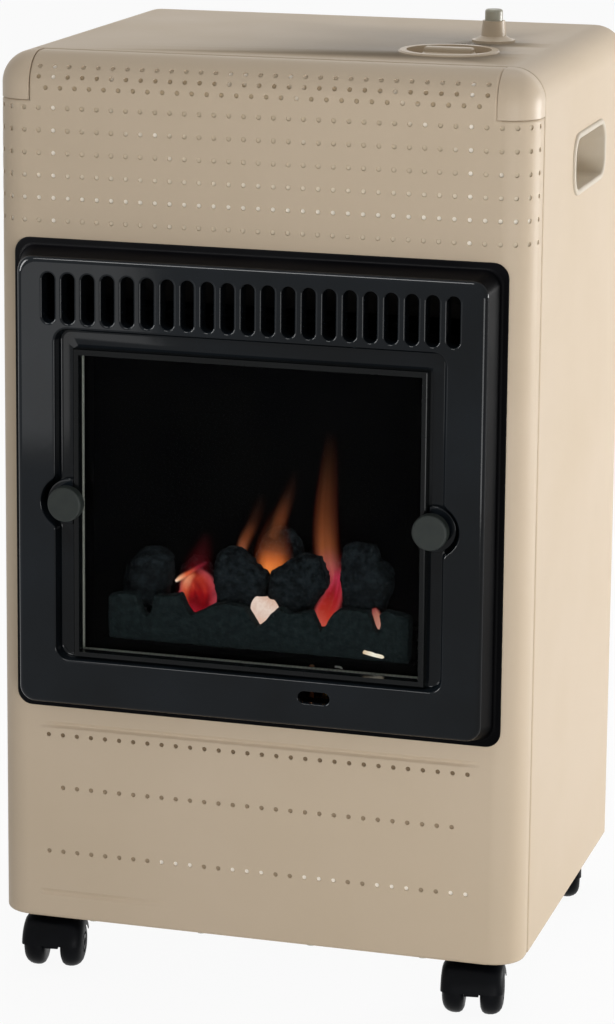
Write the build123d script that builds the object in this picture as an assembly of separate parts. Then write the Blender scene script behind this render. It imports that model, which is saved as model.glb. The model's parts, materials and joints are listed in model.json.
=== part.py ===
"""Portable gas cabinet heater, millimetres.

The origin is on the floor under the middle of the heater, +Z is up and the
fire faces -Y. Distances named "deep" run backwards from the front cover, and
distances named "high" run up from the bottom edge of the casing.
"""

import os
from math import cos, pi, radians, sin

from build123d import *

# ---- casing -----------------------------------------------------------------
frame_width = 390.0         # fire frame
frame_side = 17.0           # frame's edge to the casing's side
casing_width = frame_width + 2 * frame_side
casing_depth = 340.0
casing_height = 691.0
castor_height = 45.0        # floor to the bottom edge of the casing
sheet = 1.2                 # casing steel
edge_radius = 25.0          # rolled top, upright front edges, upper side edges
seam_deep = 34.0            # where the front cover ends on the sides and top
panel_gap = 0.3             # between neighbouring panels
rear_flange = 14.0          # wrap's return around the open back
flange_notch_high = 34.0    # the return stops here, clear of the cover's pivots
front_lip = 12.0            # front cover's return under its bottom edge

# ---- perforation of the front cover ---------------------------------------------
hole_size = 3.6
hole_pitch = 11.7
flat_row_pitch = 17.4
flat_row_count = 6
top_flat_row_high = 649.5
roll_row_pitch = 8.5        # measured round the roll
roll_row_start = -1.0       # from the roll's lower tangent line
side_columns = 19           # columns either side of the middle, round the edges
roll_columns = 15
lower_rows_high = (151.4, 108.2, 55.1)
lower_columns = (15, 14, 15)
bead_high = (159.6, 20.5)   # pressed lines above and below the lower rows
bead_half_length = 179.0
bead_width = 3.0
bead_depth = 0.5

# ---- corner caps ----------------------------------------------------------------
cap_width = 29.0            # from the casing's side
cap_height = 36.0           # from the casing's top

# ---- fire frame -----------------------------------------------------------------
frame_high = (175.0, 549.0)
frame_corner = 12.0
frame_margin = 10.0         # flat flange round the raised pan
frame_sheet = 1.2
frame_proud = 26.0
frame_slope = 6.5           # how far the pan's walls lean in
frame_edge = 5.0
slot_count = 21
slot_pitch = 15.9
slot_width = 10.0
slot_high = (487.5, 528.5)
sunk_depth = 10.0
sunk_margin = 41.0          # frame's edge to the sunk panel's edge
sunk_high = (221.5, 483.5)
sunk_corner = 10.0
bay_radius = 21.0
land_radius = 18.0
land_height = 4.0
sight_from_middle = 54.3
sight_high = 208.7
sight_length = 25.0
sight_width = 9.6

# ---- window ---------------------------------------------------------------------
window_margin = 18.5        # sunk panel's edge to the window's edge
window_high = (228.5, 463.5)
trim_width = 4.7
trim_height = 8.0
glass_thickness = 4.0
glass_overlap = 4.0
seal_thickness = 2.0
seal_width = 3.4

# ---- retaining knobs --------------------------------------------------------------
knob_inset = 9.4            # sunk panel's edge to the knob's middle
knob_high = 347.0
knob_radius = 13.7
knob_face_proud = 33.0
knob_shaft_radius = 4.0
cam_length = 12.0
cam_thickness = 3.0
running_gap = 0.3

# ---- firebox and fire ---------------------------------------------------------------
liner = 1.0
firebox_margin = 39.0       # frame's edge to the firebox's side wall
firebox_high = (196.0, 490.0)
firebox_deep = 72.0
firebox_rim = 4.0
shield_deep = 80.0
shield_high = 600.0
shield_flange = 10.0
ceramic_margin = 14.5       # window's edge to the strip's end
ceramic_high = (233.5, 270.0)
ceramic_deep = (4.0, 16.0)
tray_overhang = 4.0         # the tray's end past the ceramic strip
tray_deep = (17.0, 67.0)
tray_high = 248.0
tray_sheet = 1.5
tray_slot_count = 9
coal_deep = 33.0
coals_from_middle = (-96.0, -24.0, 25.0, 80.0)
rear_coal_deep = 57.0
rear_coals_from_middle = (-62.0, 2.0, 52.0, -112.0)
shield_slot_count = 5
shield_slot_pitch = 60.0
shield_slot_high = 40.0
shield_slot_length = 40.0
shield_slot_width = 10.0
burner_deep = 42.0
burner_high = 214.0
burner_radius = 12.0
burner_wall = 1.0
burner_stub = 12.0          # the tube's mouth outside the firebox wall
flare_radius = 16.0
flare_length = 9.0
pilot_deep = 12.0
pilot_spacing = 12.0

# ---- controls -----------------------------------------------------------------------
dial_from_middle = 119.0
dial_deep = 112.0
dial_radius = 39.0
dial_bowl_radius = 34.0
dial_bowl_depth = 12.0
dial_sheet = 1.2
control_knob_radius = 21.0
control_knob_height = 6.0
grip_height = 10.0
grip_width = 9.0
push_travel = 5.0
spindle_radius = 3.0
plunger_radius = 5.0
plunger_length = 14.0
tap_width = 34.0
tap_depth = 40.0
tap_height = 44.0
tap_drop = 40.0             # casing top to the top of the tap's body
tap_neck_radius = 9.0
tap_neck_height = 8.0
fit_gap = 0.05              # running fit between a shaft and its hole
igniter_from_middle = 136.0
igniter_deep = 190.0
collar_base_radius = 17.0
collar_radius = 10.0
collar_height = 17.0
button_radius = 7.0
button_height = 26.0
button_travel = 6.0
piezo_radius = 9.0
piezo_length = 56.0

# ---- gas line -------------------------------------------------------------------------
gas_pipe_radius = 4.0
pilot_pipe_radius = 2.0
lead_radius = 1.25
line_bend = 4.0
line_runs = {               # distance deep, distance past the burner's mouth, drop below the firebox
    "spark": (12.0, -2.0, 22.0),
    "thermocouple": (22.0, 4.0, 17.0),
    "pilot": (30.0, 10.0, 12.0),
}
hose_tail_radius = 4.5
hose_tail_length = 24.0
nut_across = 14.0

# ---- handles ---------------------------------------------------------------------------
handle_length = 113.0
handle_height = 40.0
handle_deep = 201.0
handle_high = 602.0
handle_corner = 14.0
handle_reach = 28.0
handle_wall = 2.0
handle_rim = 4.0
handle_rim_proud = 1.5

# ---- base and castors ---------------------------------------------------------------------
base_gap = 0.3
base_flange = 18.0
platform_radius = 118.0     # raised floor that the gas bottle stands on
platform_rise = 5.0
platform_edge = 4.0
platform_deep = 213.0
screw_radius = 1.75
screw_hole_radius = 1.9
screw_head_radius = 3.5
screw_head = 2.0
screw_length = 8.0
screws_from_middle = (-135.0, -45.0, 45.0, 135.0)
castor_inset_side = 40.0
castor_inset_front = 30.0
castor_turns = {"fl": 8.0, "fr": 8.0, "rl": 20.0, "rr": 14.0}
stem_radius = 4.0
socket_radius = 8.0
socket_length = 24.0
socket_flange_radius = 13.0
castor_trail = 15.0
wheel_radius = 20.0
wheel_width = 17.0
wheel_gap = 12.0
wheel_dome = 2.5
axle_radius = 2.5
hood_thickness = 1.6
hood_clearance = 1.4

# ---- rear cover -------------------------------------------------------------------------------
cover_margin = 7.0          # casing's side to the cover's edge
cover_high = (9.0, 684.0)
cover_dish = 12.0
cover_rim = 12.0
cover_pivot_high = 14.0
cover_pivot_deep = 6.0      # behind the casing's back edge
pivot_inset = 25.0          # cover's edge to the hinge ear
pivot_radius = 2.5
ear_thickness = 2.0
ear_radius = 4.0
vent_count = 9
vent_length = 120.0
vent_width = 6.0
vent_pitch = 16.0

# ---- derived places ------------------------------------------------------------------------------
overall_depth = knob_face_proud + casing_depth + cover_dish
front = knob_face_proud - overall_depth / 2
back = front + casing_depth
bottom = castor_height
top = bottom + casing_height
half_width = casing_width / 2
inner_half_width = half_width - sheet
cap_from_middle = half_width - cap_width
cap_high = casing_height - cap_height
sunk_half_width = frame_width / 2 - sunk_margin
window_half_width = sunk_half_width - window_margin
knob_from_middle = sunk_half_width - knob_inset
firebox_half_width = frame_width / 2 - firebox_margin
ceramic_half_width = window_half_width - ceramic_margin
tray_half_width = ceramic_half_width + tray_overhang
burner_reach = firebox_half_width + burner_stub
cover_half_width = half_width - cover_margin
pivot_from_middle = cover_half_width - pivot_inset
face = front - frame_proud
sunk_floor = face + sunk_depth
glass_front = sunk_floor + frame_sheet
glass_back = glass_front + glass_thickness
firebox_front = glass_back + seal_thickness
base_underside = bottom + sheet + base_gap
base_top = base_underside + sheet
socket_top = base_top + socket_length
knob_back = sunk_floor - trim_height - running_gap
tap_top = top - tap_drop
tap_bottom = tap_top - tap_height
dial_floor = top - dial_bowl_depth
pivot_y = back + cover_pivot_deep
pivot_z = bottom + cover_pivot_high
cover_inside = back + cover_dish - sheet


def deep(distance):
    """Y of a point this far behind the front cover."""
    return front + distance


def high(distance):
    """Z of a point this far above the casing's bottom edge."""
    return bottom + distance


def block(x, y, z):
    """Box between pairs of limits."""
    size = [abs(pair[1] - pair[0]) for pair in (x, y, z)]
    middle = [(pair[0] + pair[1]) / 2 for pair in (x, y, z)]
    return Pos(*middle) * Box(*size)


def rounded_block(x, y, z, radius, axis):
    solid = block(x, y, z)
    return fillet(solid.edges().filter_by(axis), radius)


def rod(radius, start, end):
    """Cylinder from one point to another."""
    line = Vector(*end) - Vector(*start)
    place = Plane(origin=start, z_dir=line)
    return place * Cylinder(radius, line.length, align=(Align.CENTER, Align.CENTER, Align.MIN))


def bent_rod(radius, bend, points):
    """Round bar or pipe along straight runs joined by bends."""
    path = FilletPolyline(*points, radius=bend)
    return sweep(Plane(origin=path @ 0, z_dir=path % 0) * Circle(radius), path=path)


def mirrored(solid):
    return mirror(solid, about=Plane.YZ)


def save(name, shape):
    solids = shape if isinstance(shape, list) else [shape]
    solids = [one for part in solids for one in part.solids()]
    export_step(solids[0] if len(solids) == 1 else Compound(solids), f"parts/{name}.step")


# ---- casing ---------------------------------------------------------------------------------------


def casing_form(inset):
    """The casing's outside, or the same form moved in by a sheet thickness."""
    solid = block(
        (-half_width + inset, half_width - inset),
        (front + inset, back + casing_depth),
        (bottom - inset, top - inset),
    )
    upright = solid.edges().filter_by(Axis.Z).group_by(Axis.Y)[0]
    across = solid.edges().filter_by(Axis.X).group_by(Axis.Z)[-1].group_by(Axis.Y)[0]
    along = solid.edges().filter_by(Axis.Y).group_by(Axis.Z)[-1]
    return fillet([*upright, *across, *along], edge_radius - inset)


def casing_shell():
    return casing_form(0) - casing_form(sheet)


def cap_region(gap):
    """The two upper front corners, outside the gap round each cap."""
    reach = casing_width
    right = block(
        (cap_from_middle + gap, reach),
        (front - reach, deep(seam_deep)),
        (high(cap_high) + gap, top + reach),
    )
    return [right, mirrored(right)]


def hole_place(column_arc, row_high, row_arc=None):
    """Place on the cover's skin: round the upright edge or round the top roll."""
    flat_half = half_width - edge_radius
    sign = 1 if column_arc >= 0 else -1
    arc = abs(column_arc) - flat_half
    if row_arc is not None and row_arc > 0:
        turn = row_arc / edge_radius
        y = front + edge_radius * (1 - cos(turn))
        z = top - edge_radius * (1 - sin(turn))
        return Pos(column_arc, y, z) * Rot(-turn * 180 / pi, 0, 0)
    if arc <= 0:
        return Pos(column_arc, front, row_high)
    turn = min(arc / edge_radius, pi / 2)
    past = max(arc - edge_radius * pi / 2, 0)
    x = sign * (flat_half + edge_radius * sin(turn))
    y = front + edge_radius * (1 - cos(turn)) + past
    return Pos(x, y, row_high) * Rot(0, 0, sign * turn * 180 / pi)


def hole_cutter():
    """Four-sided punch, standing on a corner, through the skin along Y."""
    return Rot(0, 45, 0) * Box(hole_size * 0.886, 4 * sheet, hole_size * 0.886)


def perforation():
    punches = []
    punch = hole_cutter()
    for row in range(flat_row_count):
        z = high(top_flat_row_high - row * flat_row_pitch)
        for column in range(-side_columns, side_columns + 1):
            punches.append(hole_place(column * hole_pitch, z) * punch)
    roll_start = top - edge_radius
    for row in range(3):
        arc = roll_row_start + row * roll_row_pitch
        shift = hole_pitch / 2 if row == 0 else 0
        last = roll_columns if row else roll_columns - 1
        for column in range(-roll_columns, last + 1):
            x = column * hole_pitch + shift
            punches.append(hole_place(x, roll_start + arc, arc) * punch)
    for z, count in zip(lower_rows_high, lower_columns):
        for column in range(-count, count):
            x = (column + 0.5) * hole_pitch
            punches.append(hole_place(x, high(z)) * punch)
    return punches


def front_cover():
    shell = casing_shell() & block(
        (-half_width, half_width), (front, deep(seam_deep)), (bottom, top)
    )
    lip = block(
        (-half_width + edge_radius, half_width - edge_radius),
        (front + sheet / 2, front + front_lip),
        (bottom, bottom + sheet),
    )
    opening = rounded_block(
        (-frame_width / 2 + frame_margin, frame_width / 2 - frame_margin),
        (front - sheet, front + 2 * sheet),
        (high(frame_high[0] + frame_margin), high(frame_high[1] - frame_margin)),
        frame_corner, Axis.Y,
    )
    beads = [
        block(
            (-bead_half_length, bead_half_length),
            (front - bead_depth, front + bead_depth),
            (high(z) - bead_width / 2, high(z) + bead_width / 2),
        )
        for z in bead_high
    ]
    cover = shell + lip - opening - beads
    cover -= cap_region(0)
    cover -= [rod(screw_hole_radius, (x, y, bottom - 1), (x, y, bottom + 2 * sheet))
              for x, y in cover_screw_places()]
    return cover - perforation()


def corner_caps():
    shell = casing_shell()
    return [shell & region for region in cap_region(panel_gap)]


def handle_opening():
    """The hole for a handle cup in the right side."""
    return rounded_block(
        (half_width - 4 * sheet, half_width + sheet),
        (deep(handle_deep) - handle_length / 2 - handle_wall,
         deep(handle_deep) + handle_length / 2 + handle_wall),
        (high(handle_high) - handle_height / 2 - handle_wall,
         high(handle_high) + handle_height / 2 + handle_wall),
        handle_corner + handle_wall, Axis.X,
    )


def casing_wrap():
    wrap = casing_shell() & block(
        (-half_width, half_width), (deep(seam_deep) + panel_gap, back), (bottom, top)
    )
    returned = (casing_form(sheet / 2) - casing_form(rear_flange)) & block(
        (-half_width, half_width), (back - sheet, back), (high(flange_notch_high), top)
    )
    wrap += returned
    opening = handle_opening()
    wrap -= [opening, mirrored(opening)]
    wrap -= Pos(dial_from_middle, deep(dial_deep), top) * Cylinder(
        dial_bowl_radius + panel_gap, 4 * sheet)
    wrap -= Pos(igniter_from_middle, deep(igniter_deep), top) * Cylinder(
        piezo_radius + panel_gap, 4 * sheet)
    return wrap


# ---- base -------------------------------------------------------------------------------------------


def cover_screw_places():
    y = front + front_lip - screw_head_radius - 0.5
    return [(x, y) for x in screws_from_middle]


def castor_places():
    side = half_width - castor_inset_side
    near = deep(castor_inset_front)
    far = back - castor_inset_front
    return {"fl": (-side, near), "fr": (side, near), "rl": (-side, far), "rr": (side, far)}


def base_plate():
    side = inner_half_width - base_gap
    start = front + sheet + base_gap
    plan = rounded_block(
        (-side, side), (start, back + edge_radius), (base_underside, base_top + base_flange),
        edge_radius - sheet - base_gap, Axis.Z,
    )
    hollow = rounded_block(
        (-side + sheet, side - sheet), (start + sheet, back + 2 * edge_radius),
        (base_top, base_top + 2 * base_flange),
        edge_radius - 2 * sheet - base_gap, Axis.Z,
    )
    plate = (plan - hollow) & block((-side, side), (start, back - 2 * sheet), (bottom, top))
    for x, y in castor_places().values():
        plate -= Pos(x, y, base_top) * Cylinder(socket_radius + fit_gap, 4 * sheet)
    for x, y in cover_screw_places():
        plate -= Pos(x, y, base_top) * Cylinder(screw_hole_radius, 4 * sheet)
    for sign in (-1, 1):
        x = sign * pivot_from_middle
        limits = (x - ear_thickness / 2, x + ear_thickness / 2)
        ear = block(limits, (back - 20, pivot_y), (pivot_z - ear_radius, pivot_z + ear_radius))
        ear += rod(ear_radius, (limits[0], pivot_y, pivot_z), (limits[1], pivot_y, pivot_z))
        ear += block(limits, (back - 20, back - 4 * sheet), (base_top - 0.1, pivot_z))
        hole = pivot_radius + fit_gap
        ear -= rod(hole, (limits[0] - 1, pivot_y, pivot_z), (limits[1] + 1, pivot_y, pivot_z))
        plate += ear
    return plate + platform_form(0) - platform_form(sheet)


def platform_form(inset):
    """Outside of the platform pressed up from the base plate, or its hollow underside."""
    low = base_underside - inset
    disc = upright(platform_radius - inset, low, base_top + platform_rise - inset)
    disc = fillet(disc.edges().group_by(Axis.Z)[-1], platform_edge - inset)
    return Pos(0, deep(platform_deep), 0) * disc


def cover_screws():
    screws = []
    for x, y in cover_screw_places():
        head = rod(screw_head_radius, (x, y, bottom - screw_head), (x, y, bottom))
        screws.append(head + rod(screw_radius, (x, y, bottom), (x, y, bottom + screw_length)))
    return screws


def castor_sockets():
    sockets = []
    for x, y in castor_places().values():
        flange_top = base_underside
        body = rod(socket_radius, (x, y, flange_top), (x, y, socket_top))
        body += rod(socket_flange_radius, (x, y, bottom), (x, y, flange_top))
        body -= rod(stem_radius + fit_gap, (x, y, bottom - 1), (x, y, socket_top - 2 * sheet))
        sockets.append(body)
    return sockets


# ---- castors ------------------------------------------------------------------------------------------
# A castor is made with its stem on the Z axis and its wheels in front of it.


def castor_hood():
    axle = (0, -castor_trail, wheel_radius)
    half_web = wheel_gap / 2 - running_gap
    half_all = wheel_gap / 2 + wheel_width
    outer = wheel_radius + hood_clearance + hood_thickness
    inner = wheel_radius + hood_clearance
    fender = rod(outer, (-half_all, *axle[1:]), (half_all, *axle[1:]))
    fender -= rod(inner, (-half_all - 1, *axle[1:]), (half_all + 1, *axle[1:]))
    upper = wheel_radius + 5.0
    ceiling = castor_height - 0.4
    fender &= block((-half_all, half_all), (-castor_trail - outer, outer), (upper, ceiling))
    web = rod(inner, (-half_web, *axle[1:]), (half_web, *axle[1:]))
    web &= block((-half_web, half_web), (-castor_trail - outer, 9), (17.0, ceiling))
    boss = rod(9.0, (0, 0, 26.0), (0, 0, ceiling))
    boss &= block((-half_web, half_web), (-9, 9), (0, ceiling))
    boss += rod(9.0, (0, 0, wheel_radius + 21.0), (0, 0, ceiling))
    hood = fender + web + boss
    hood -= rod(axle_radius + fit_gap, (-half_all, *axle[1:]), (half_all, *axle[1:]))
    return hood - rod(stem_radius + 0.03, (0, 0, 28.0), (0, 0, castor_height + 1))


def castor_pins():
    axle_y, axle_z = -castor_trail, wheel_radius
    half_all = wheel_gap / 2 + wheel_width - wheel_dome - 1.0
    axle = rod(axle_radius, (-half_all, axle_y, axle_z), (half_all, axle_y, axle_z))
    stem = rod(stem_radius, (0, 0, 28.3), (0, 0, socket_top - 3 * sheet))
    return [stem, axle]


def castor_wheel(sign):
    """Wheel with a rounded tread and a slightly domed outer face."""
    inner = wheel_gap / 2
    outer = inner + wheel_width
    bore = axle_radius + fit_gap
    profile = Polyline(
        (inner, bore), (inner, wheel_radius - 3.0), (inner + 1.5, wheel_radius - 0.7),
        (inner + 4.5, wheel_radius), (outer - 7.5, wheel_radius),
        (outer - 4.0, wheel_radius - 1.2), (outer - 2.0, wheel_radius - 4.0),
        (outer - wheel_dome / 4, wheel_radius / 2), (outer, bore + 2.0),
        (outer - 1.5, bore), close=True,
    )
    disc = make_face(profile)
    wheel = revolve(disc, Axis.X)
    wheel = Pos(0, -castor_trail, wheel_radius) * wheel
    return wheel if sign > 0 else mirrored(wheel)


def save_castors():
    for name, (x, y) in castor_places().items():
        place = Pos(x, y, 0) * Rot(0, 0, castor_turns[name])
        save(f"castor_{name}_hood", place * castor_hood())
        save(f"castor_{name}_pins", [place * pin for pin in castor_pins()])
        save(f"castor_{name}_wheel_left", place * castor_wheel(-1))
        save(f"castor_{name}_wheel_right", place * castor_wheel(1))


# ---- fire frame -------------------------------------------------------------------------------------------


def pan_solid(inset):
    """The raised pan's outside, or its inside one sheet thickness in."""
    base_half = frame_width / 2 - frame_margin - inset
    low = high(frame_high[0] + frame_margin) + inset
    up = high(frame_high[1] - frame_margin) - inset
    lean = frame_slope
    middle = (low + up) / 2
    wide = Plane(origin=(0, front, middle), x_dir=(1, 0, 0), z_dir=(0, -1, 0))
    near = wide.offset(frame_proud - inset)
    corner = frame_corner - inset
    base = wide * RectangleRounded(2 * base_half, up - low, corner)
    crown = near * RectangleRounded(2 * (base_half - lean), up - low - 2 * lean, corner)
    pan = loft([base, crown], ruled=True)
    rim = pan.faces().sort_by(Axis.Y)[0].edges()
    return fillet(rim, frame_edge - inset)


def sunk_form(grow, y_from, y_to):
    """Sunk panel with a round bay at each knob."""
    form = rounded_block(
        (-sunk_half_width - grow, sunk_half_width + grow), (y_from, y_to),
        (high(sunk_high[0]) - grow, high(sunk_high[1]) + grow),
        sunk_corner + grow, Axis.Y,
    )
    for sign in (-1, 1):
        x = sign * knob_from_middle
        z = high(knob_high)
        form += rod(bay_radius + grow, (x, y_from, z), (x, y_to, z))
    return form


def window_block(grow, y_from, y_to):
    return block(
        (-window_half_width - grow, window_half_width + grow), (y_from, y_to),
        (high(window_high[0]) - grow, high(window_high[1]) + grow),
    )


def stadium(x, z, length, width, upright, y_from, y_to):
    """Round-ended slot cutter along Y."""
    half_x = width / 2 if upright else length / 2
    half_z = length / 2 if upright else width / 2
    return rounded_block((x - half_x, x + half_x), (y_from, y_to), (z - half_z, z + half_z),
                         width / 2 - 0.01, Axis.Y)


def fire_frame():
    flange = rounded_block(
        (-frame_width / 2, frame_width / 2), (front - frame_sheet, front),
        (high(frame_high[0]), high(frame_high[1])), frame_corner, Axis.Y,
    )
    outside = pan_solid(0)
    inside = pan_solid(frame_sheet)
    frame = flange + outside - inside
    frame += sunk_form(frame_sheet, face + frame_sheet / 2, glass_front)
    frame -= sunk_form(0, face - 1, sunk_floor)
    for sign in (-1, 1):
        x = sign * knob_from_middle
        z = high(knob_high)
        land = rod(land_radius, (x, sunk_floor - land_height, z), (x, sunk_floor + 0.1, z))
        clear_of_trim = window_half_width + trim_width + 1.0
        far = frame_width
        beside = (clear_of_trim, far) if sign > 0 else (-far, -clear_of_trim)
        land &= block(beside, (face, front), (bottom, top))
        frame += land
        frame -= rod(knob_shaft_radius + fit_gap, (x, face, z), (x, front, z))
    frame -= window_block(0, face, front)
    length = slot_high[1] - slot_high[0]
    middle = high((slot_high[0] + slot_high[1]) / 2)
    for index in range(slot_count):
        x = (index - (slot_count - 1) / 2) * slot_pitch
        frame -= stadium(x, middle, length, slot_width, True, face - 1, face + 3 * frame_sheet)
    frame -= stadium(sight_from_middle, high(sight_high), sight_length, sight_width, False,
                     face - 1, face + 3 * frame_sheet)
    return frame


def glass_frame():
    ring = window_block(trim_width, sunk_floor - trim_height, sunk_floor)
    front_edges = ring.edges().group_by(Axis.Y)[0]
    ring = fillet(front_edges, trim_width / 2 - 0.4)
    ring -= window_block(0, face, front)
    return ring


def glass_pane():
    return window_block(glass_overlap, glass_front, glass_back)


def glass_seal():
    outer = glass_overlap - running_gap
    ring = window_block(outer, glass_back, firebox_front)
    return ring - window_block(outer - seal_width, glass_back - 1, firebox_front + 1)


def retaining_knob(sign):
    x = sign * knob_from_middle
    z = high(knob_high)
    face_y = front - knob_face_proud
    knob = rod(knob_radius, (x, face_y, z), (x, knob_back, z))
    knob = fillet(knob.edges().group_by(Axis.Y)[0], 2.0)
    cam_front = firebox_front + liner + running_gap
    cam_back = cam_front + cam_thickness
    knob += rod(knob_shaft_radius, (x, knob_back - 1, z), (x, cam_back, z))
    half_cam = cam_length / 2
    cam = block((x - cam_thickness / 2, x + cam_thickness / 2), (cam_front, cam_back),
                (z - half_cam, z + half_cam))
    return knob + cam


# ---- firebox and fire -----------------------------------------------------------------------------------------


def firebox():
    half = firebox_half_width
    low, up = high(firebox_high[0]), high(firebox_high[1])
    box = block((-half - liner, half + liner), (firebox_front, deep(firebox_deep)),
                (low - liner, up + liner))
    box += block((-half - firebox_rim, half + firebox_rim), (firebox_front, firebox_front + liner),
                 (low - firebox_rim, up + firebox_rim))
    box -= block((-half, half), (firebox_front + liner, deep(firebox_deep) - liner), (low, up))
    box -= window_block(0, firebox_front - 1, firebox_front + 2 * liner)
    box -= stadium(sight_from_middle, high(sight_high), sight_length, sight_width, False,
                   firebox_front - 1, firebox_front + 2 * liner)
    z = high(knob_high)
    for sign in (-1, 1):
        x = sign * knob_from_middle
        box -= rod(knob_shaft_radius + running_gap, (x, firebox_front - 1, z),
                   (x, firebox_front + 2 * liner, z))
        slot = cam_length / 2 + running_gap
        keyway = cam_thickness / 2 + running_gap
        box -= block((x - slot, x + slot), (firebox_front - 1, firebox_front + 2 * liner),
                     (z - keyway, z + keyway))
    box -= rod(burner_radius + running_gap, (half - 5, deep(burner_deep), high(burner_high)),
               (half + 5, deep(burner_deep), high(burner_high)))
    for place, radius in pilot_group().values():
        x, y = place
        box -= rod(radius + running_gap, (x, y, low - 2 * liner), (x, y, low + liner))
    for index in range(7):
        x = (index - 3) * 36.0
        box -= rounded_block((x - 12, x + 12), (deep(24), deep(52)), (up - liner, up + 2 * liner),
                             5.0, Axis.Z)
    return box


def heat_shield():
    side = inner_half_width - base_gap
    y = deep(shield_deep)
    plate = block((-side, side), (y, y + liner), (base_top + base_gap, high(shield_high)))
    for sign in (-1, 1):
        inner = sign * (side - liner)
        plate += block((min(sign * side, inner), max(sign * side, inner)),
                       (y, y + shield_flange), (base_top + base_flange + 1, high(shield_high)))
    notch = sheet + base_gap
    for sign in (-1, 1):
        edge = sign * (side - notch)
        plate -= block((min(edge, sign * casing_width), max(edge, sign * casing_width)),
                       (y - 1, y + 2 * liner), (bottom, base_top + base_flange + base_gap))
    for index in range(shield_slot_count):
        x = (index - (shield_slot_count - 1) / 2) * shield_slot_pitch
        plate -= stadium(x, high(shield_slot_high), shield_slot_length, shield_slot_width,
                         False, y - 1, y + 2 * liner)
    return plate


def cross_rail():
    """Angle across the cabinet that ties the shield's top edge and the tap bracket."""
    side = inner_half_width - base_gap
    y = deep(shield_deep) + liner
    low = high(shield_high) - 24.0
    rail = block((-side + liner + base_gap, side - liner - base_gap), (y, y + sheet),
                 (low, high(shield_high)))
    return rail + block((-side + liner + base_gap, side - liner - base_gap), (y, y + 22.0),
                        (high(shield_high) - sheet, high(shield_high)))


def burner_tray():
    half = tray_half_width
    floor = high(firebox_high[0])
    near, far = deep(tray_deep[0]), deep(tray_deep[1])
    upper = high(tray_high)
    tray = block((-half, half), (near, far), (floor, upper))
    tray -= block((-half - 1, half + 1), (near + tray_sheet, far - tray_sheet),
                  (floor - 1, upper - tray_sheet))
    ledge = high(ceramic_high[0])
    tray += block((-half, half), (deep(ceramic_deep[0]), near + 0.1), (ledge - tray_sheet, ledge))
    pitch = 2 * half / tray_slot_count
    for index in range(tray_slot_count):
        x = (index - (tray_slot_count - 1) / 2) * pitch
        for y in (near + 14.0, far - 14.0):
            tray -= rounded_block((x - 9, x + 9), (y - 3, y + 3),
                                  (upper - 2 * tray_sheet, upper + 1), 2.5, Axis.Z)
    return tray


def front_ceramic():
    """Ceramic strip with notched lower openings and a broken upper edge."""
    low, up = high(ceramic_high[0]), high(ceramic_high[1])
    near, far = deep(ceramic_deep[0]), deep(ceramic_deep[1])
    strip = block((-ceramic_half_width, ceramic_half_width), (near, far), (low, up))
    for index in range(6):
        x = (index - 2.5) * 38.0
        hole = rounded_block((x - 8, x + 8), (near - 1, far + 1), (low + 8, low + 23), 5.0, Axis.Y)
        strip -= hole
    for index in range(5):
        x = (index - 2) * 46.0 + 6.0
        strip -= Pos(x, (near + far) / 2, up + 3.0) * Rot(0, 20, 0) * Box(17, 20, 12)
    return strip


def coal(width, depth, height, turn, x, y):
    """Angular lump that rests on the tray."""
    lump = Box(width, depth, height)
    lump = chamfer(lump.edges(), 0.27 * min(width, depth, height))
    lump = Rot(*turn) * lump
    bounds = lump.bounding_box()
    return Pos(x, y, high(tray_high) + 0.1 - bounds.min.Z) * lump


def front_coals():
    y = deep(coal_deep)
    left, inner_left, inner_right, right = coals_from_middle
    return {
        "coal_left": coal(30, 25, 52, (6, 8, 20), left, y),
        "coal_middle_left": coal(38, 26, 56, (0, -9, 12), inner_left, y),
        "coal_middle_right": coal(42, 25, 54, (5, 10, -8), inner_right, y),
        "coal_right": coal(34, 26, 64, (0, 7, 14), right, y),
    }


def rear_coals():
    y = deep(rear_coal_deep)
    lumps = ((34, 44, (0, 6, 4)), (36, 48, (0, -7, -4)), (30, 42, (0, 5, 5)), (26, 36, (0, -5, 3)))
    return [coal(width, 14, height, turn, x, y)
            for (width, height, turn), x in zip(lumps, rear_coals_from_middle)]


def burner_tube():
    y, z = deep(burner_deep), high(burner_high)
    start = -tray_half_width + 12.0
    tube = rod(burner_radius, (start, y, z), (burner_reach, y, z))
    tube -= rod(burner_radius - burner_wall, (start + burner_wall, y, z), (burner_reach + 1, y, z))
    mouth_start = burner_reach - flare_length
    mouth = Solid.make_cone(burner_radius, flare_radius, flare_length,
                            plane=Plane(origin=(mouth_start, y, z), z_dir=(1, 0, 0)))
    mouth -= Solid.make_cone(burner_radius - burner_wall, flare_radius - burner_wall, flare_length,
                             plane=Plane(origin=(mouth_start, y, z), z_dir=(1, 0, 0)))
    tube += mouth
    count = 14
    for index in range(count):
        x = start + 12.0 + index * (2 * tray_half_width - 48.0) / (count - 1)
        tube -= block((x - 1.5, x + 1.5), (y - 4, y + 4), (z, z + burner_radius + 1))
    return tube


def injector_place():
    return burner_reach + 4.0, deep(burner_deep), high(burner_high)


def injector():
    """Brass elbow: a jet that points into the burner tube and an upright inlet."""
    x, y, z = injector_place()
    jet = rod(3.0, (x - 10.0, y, z), (x + 1.0, y, z))
    jet -= rod(0.4, (x - 11.0, y, z), (x - 6.0, y, z))
    body = block((x, x + 16.0), (y - 7.0, y + 7.0), (z - 7.0, z + 7.0))
    neck = rod(6.0, (x + 8.0, y, z), (x + 8.0, y, z + 12.0))
    return jet + body + neck


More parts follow.
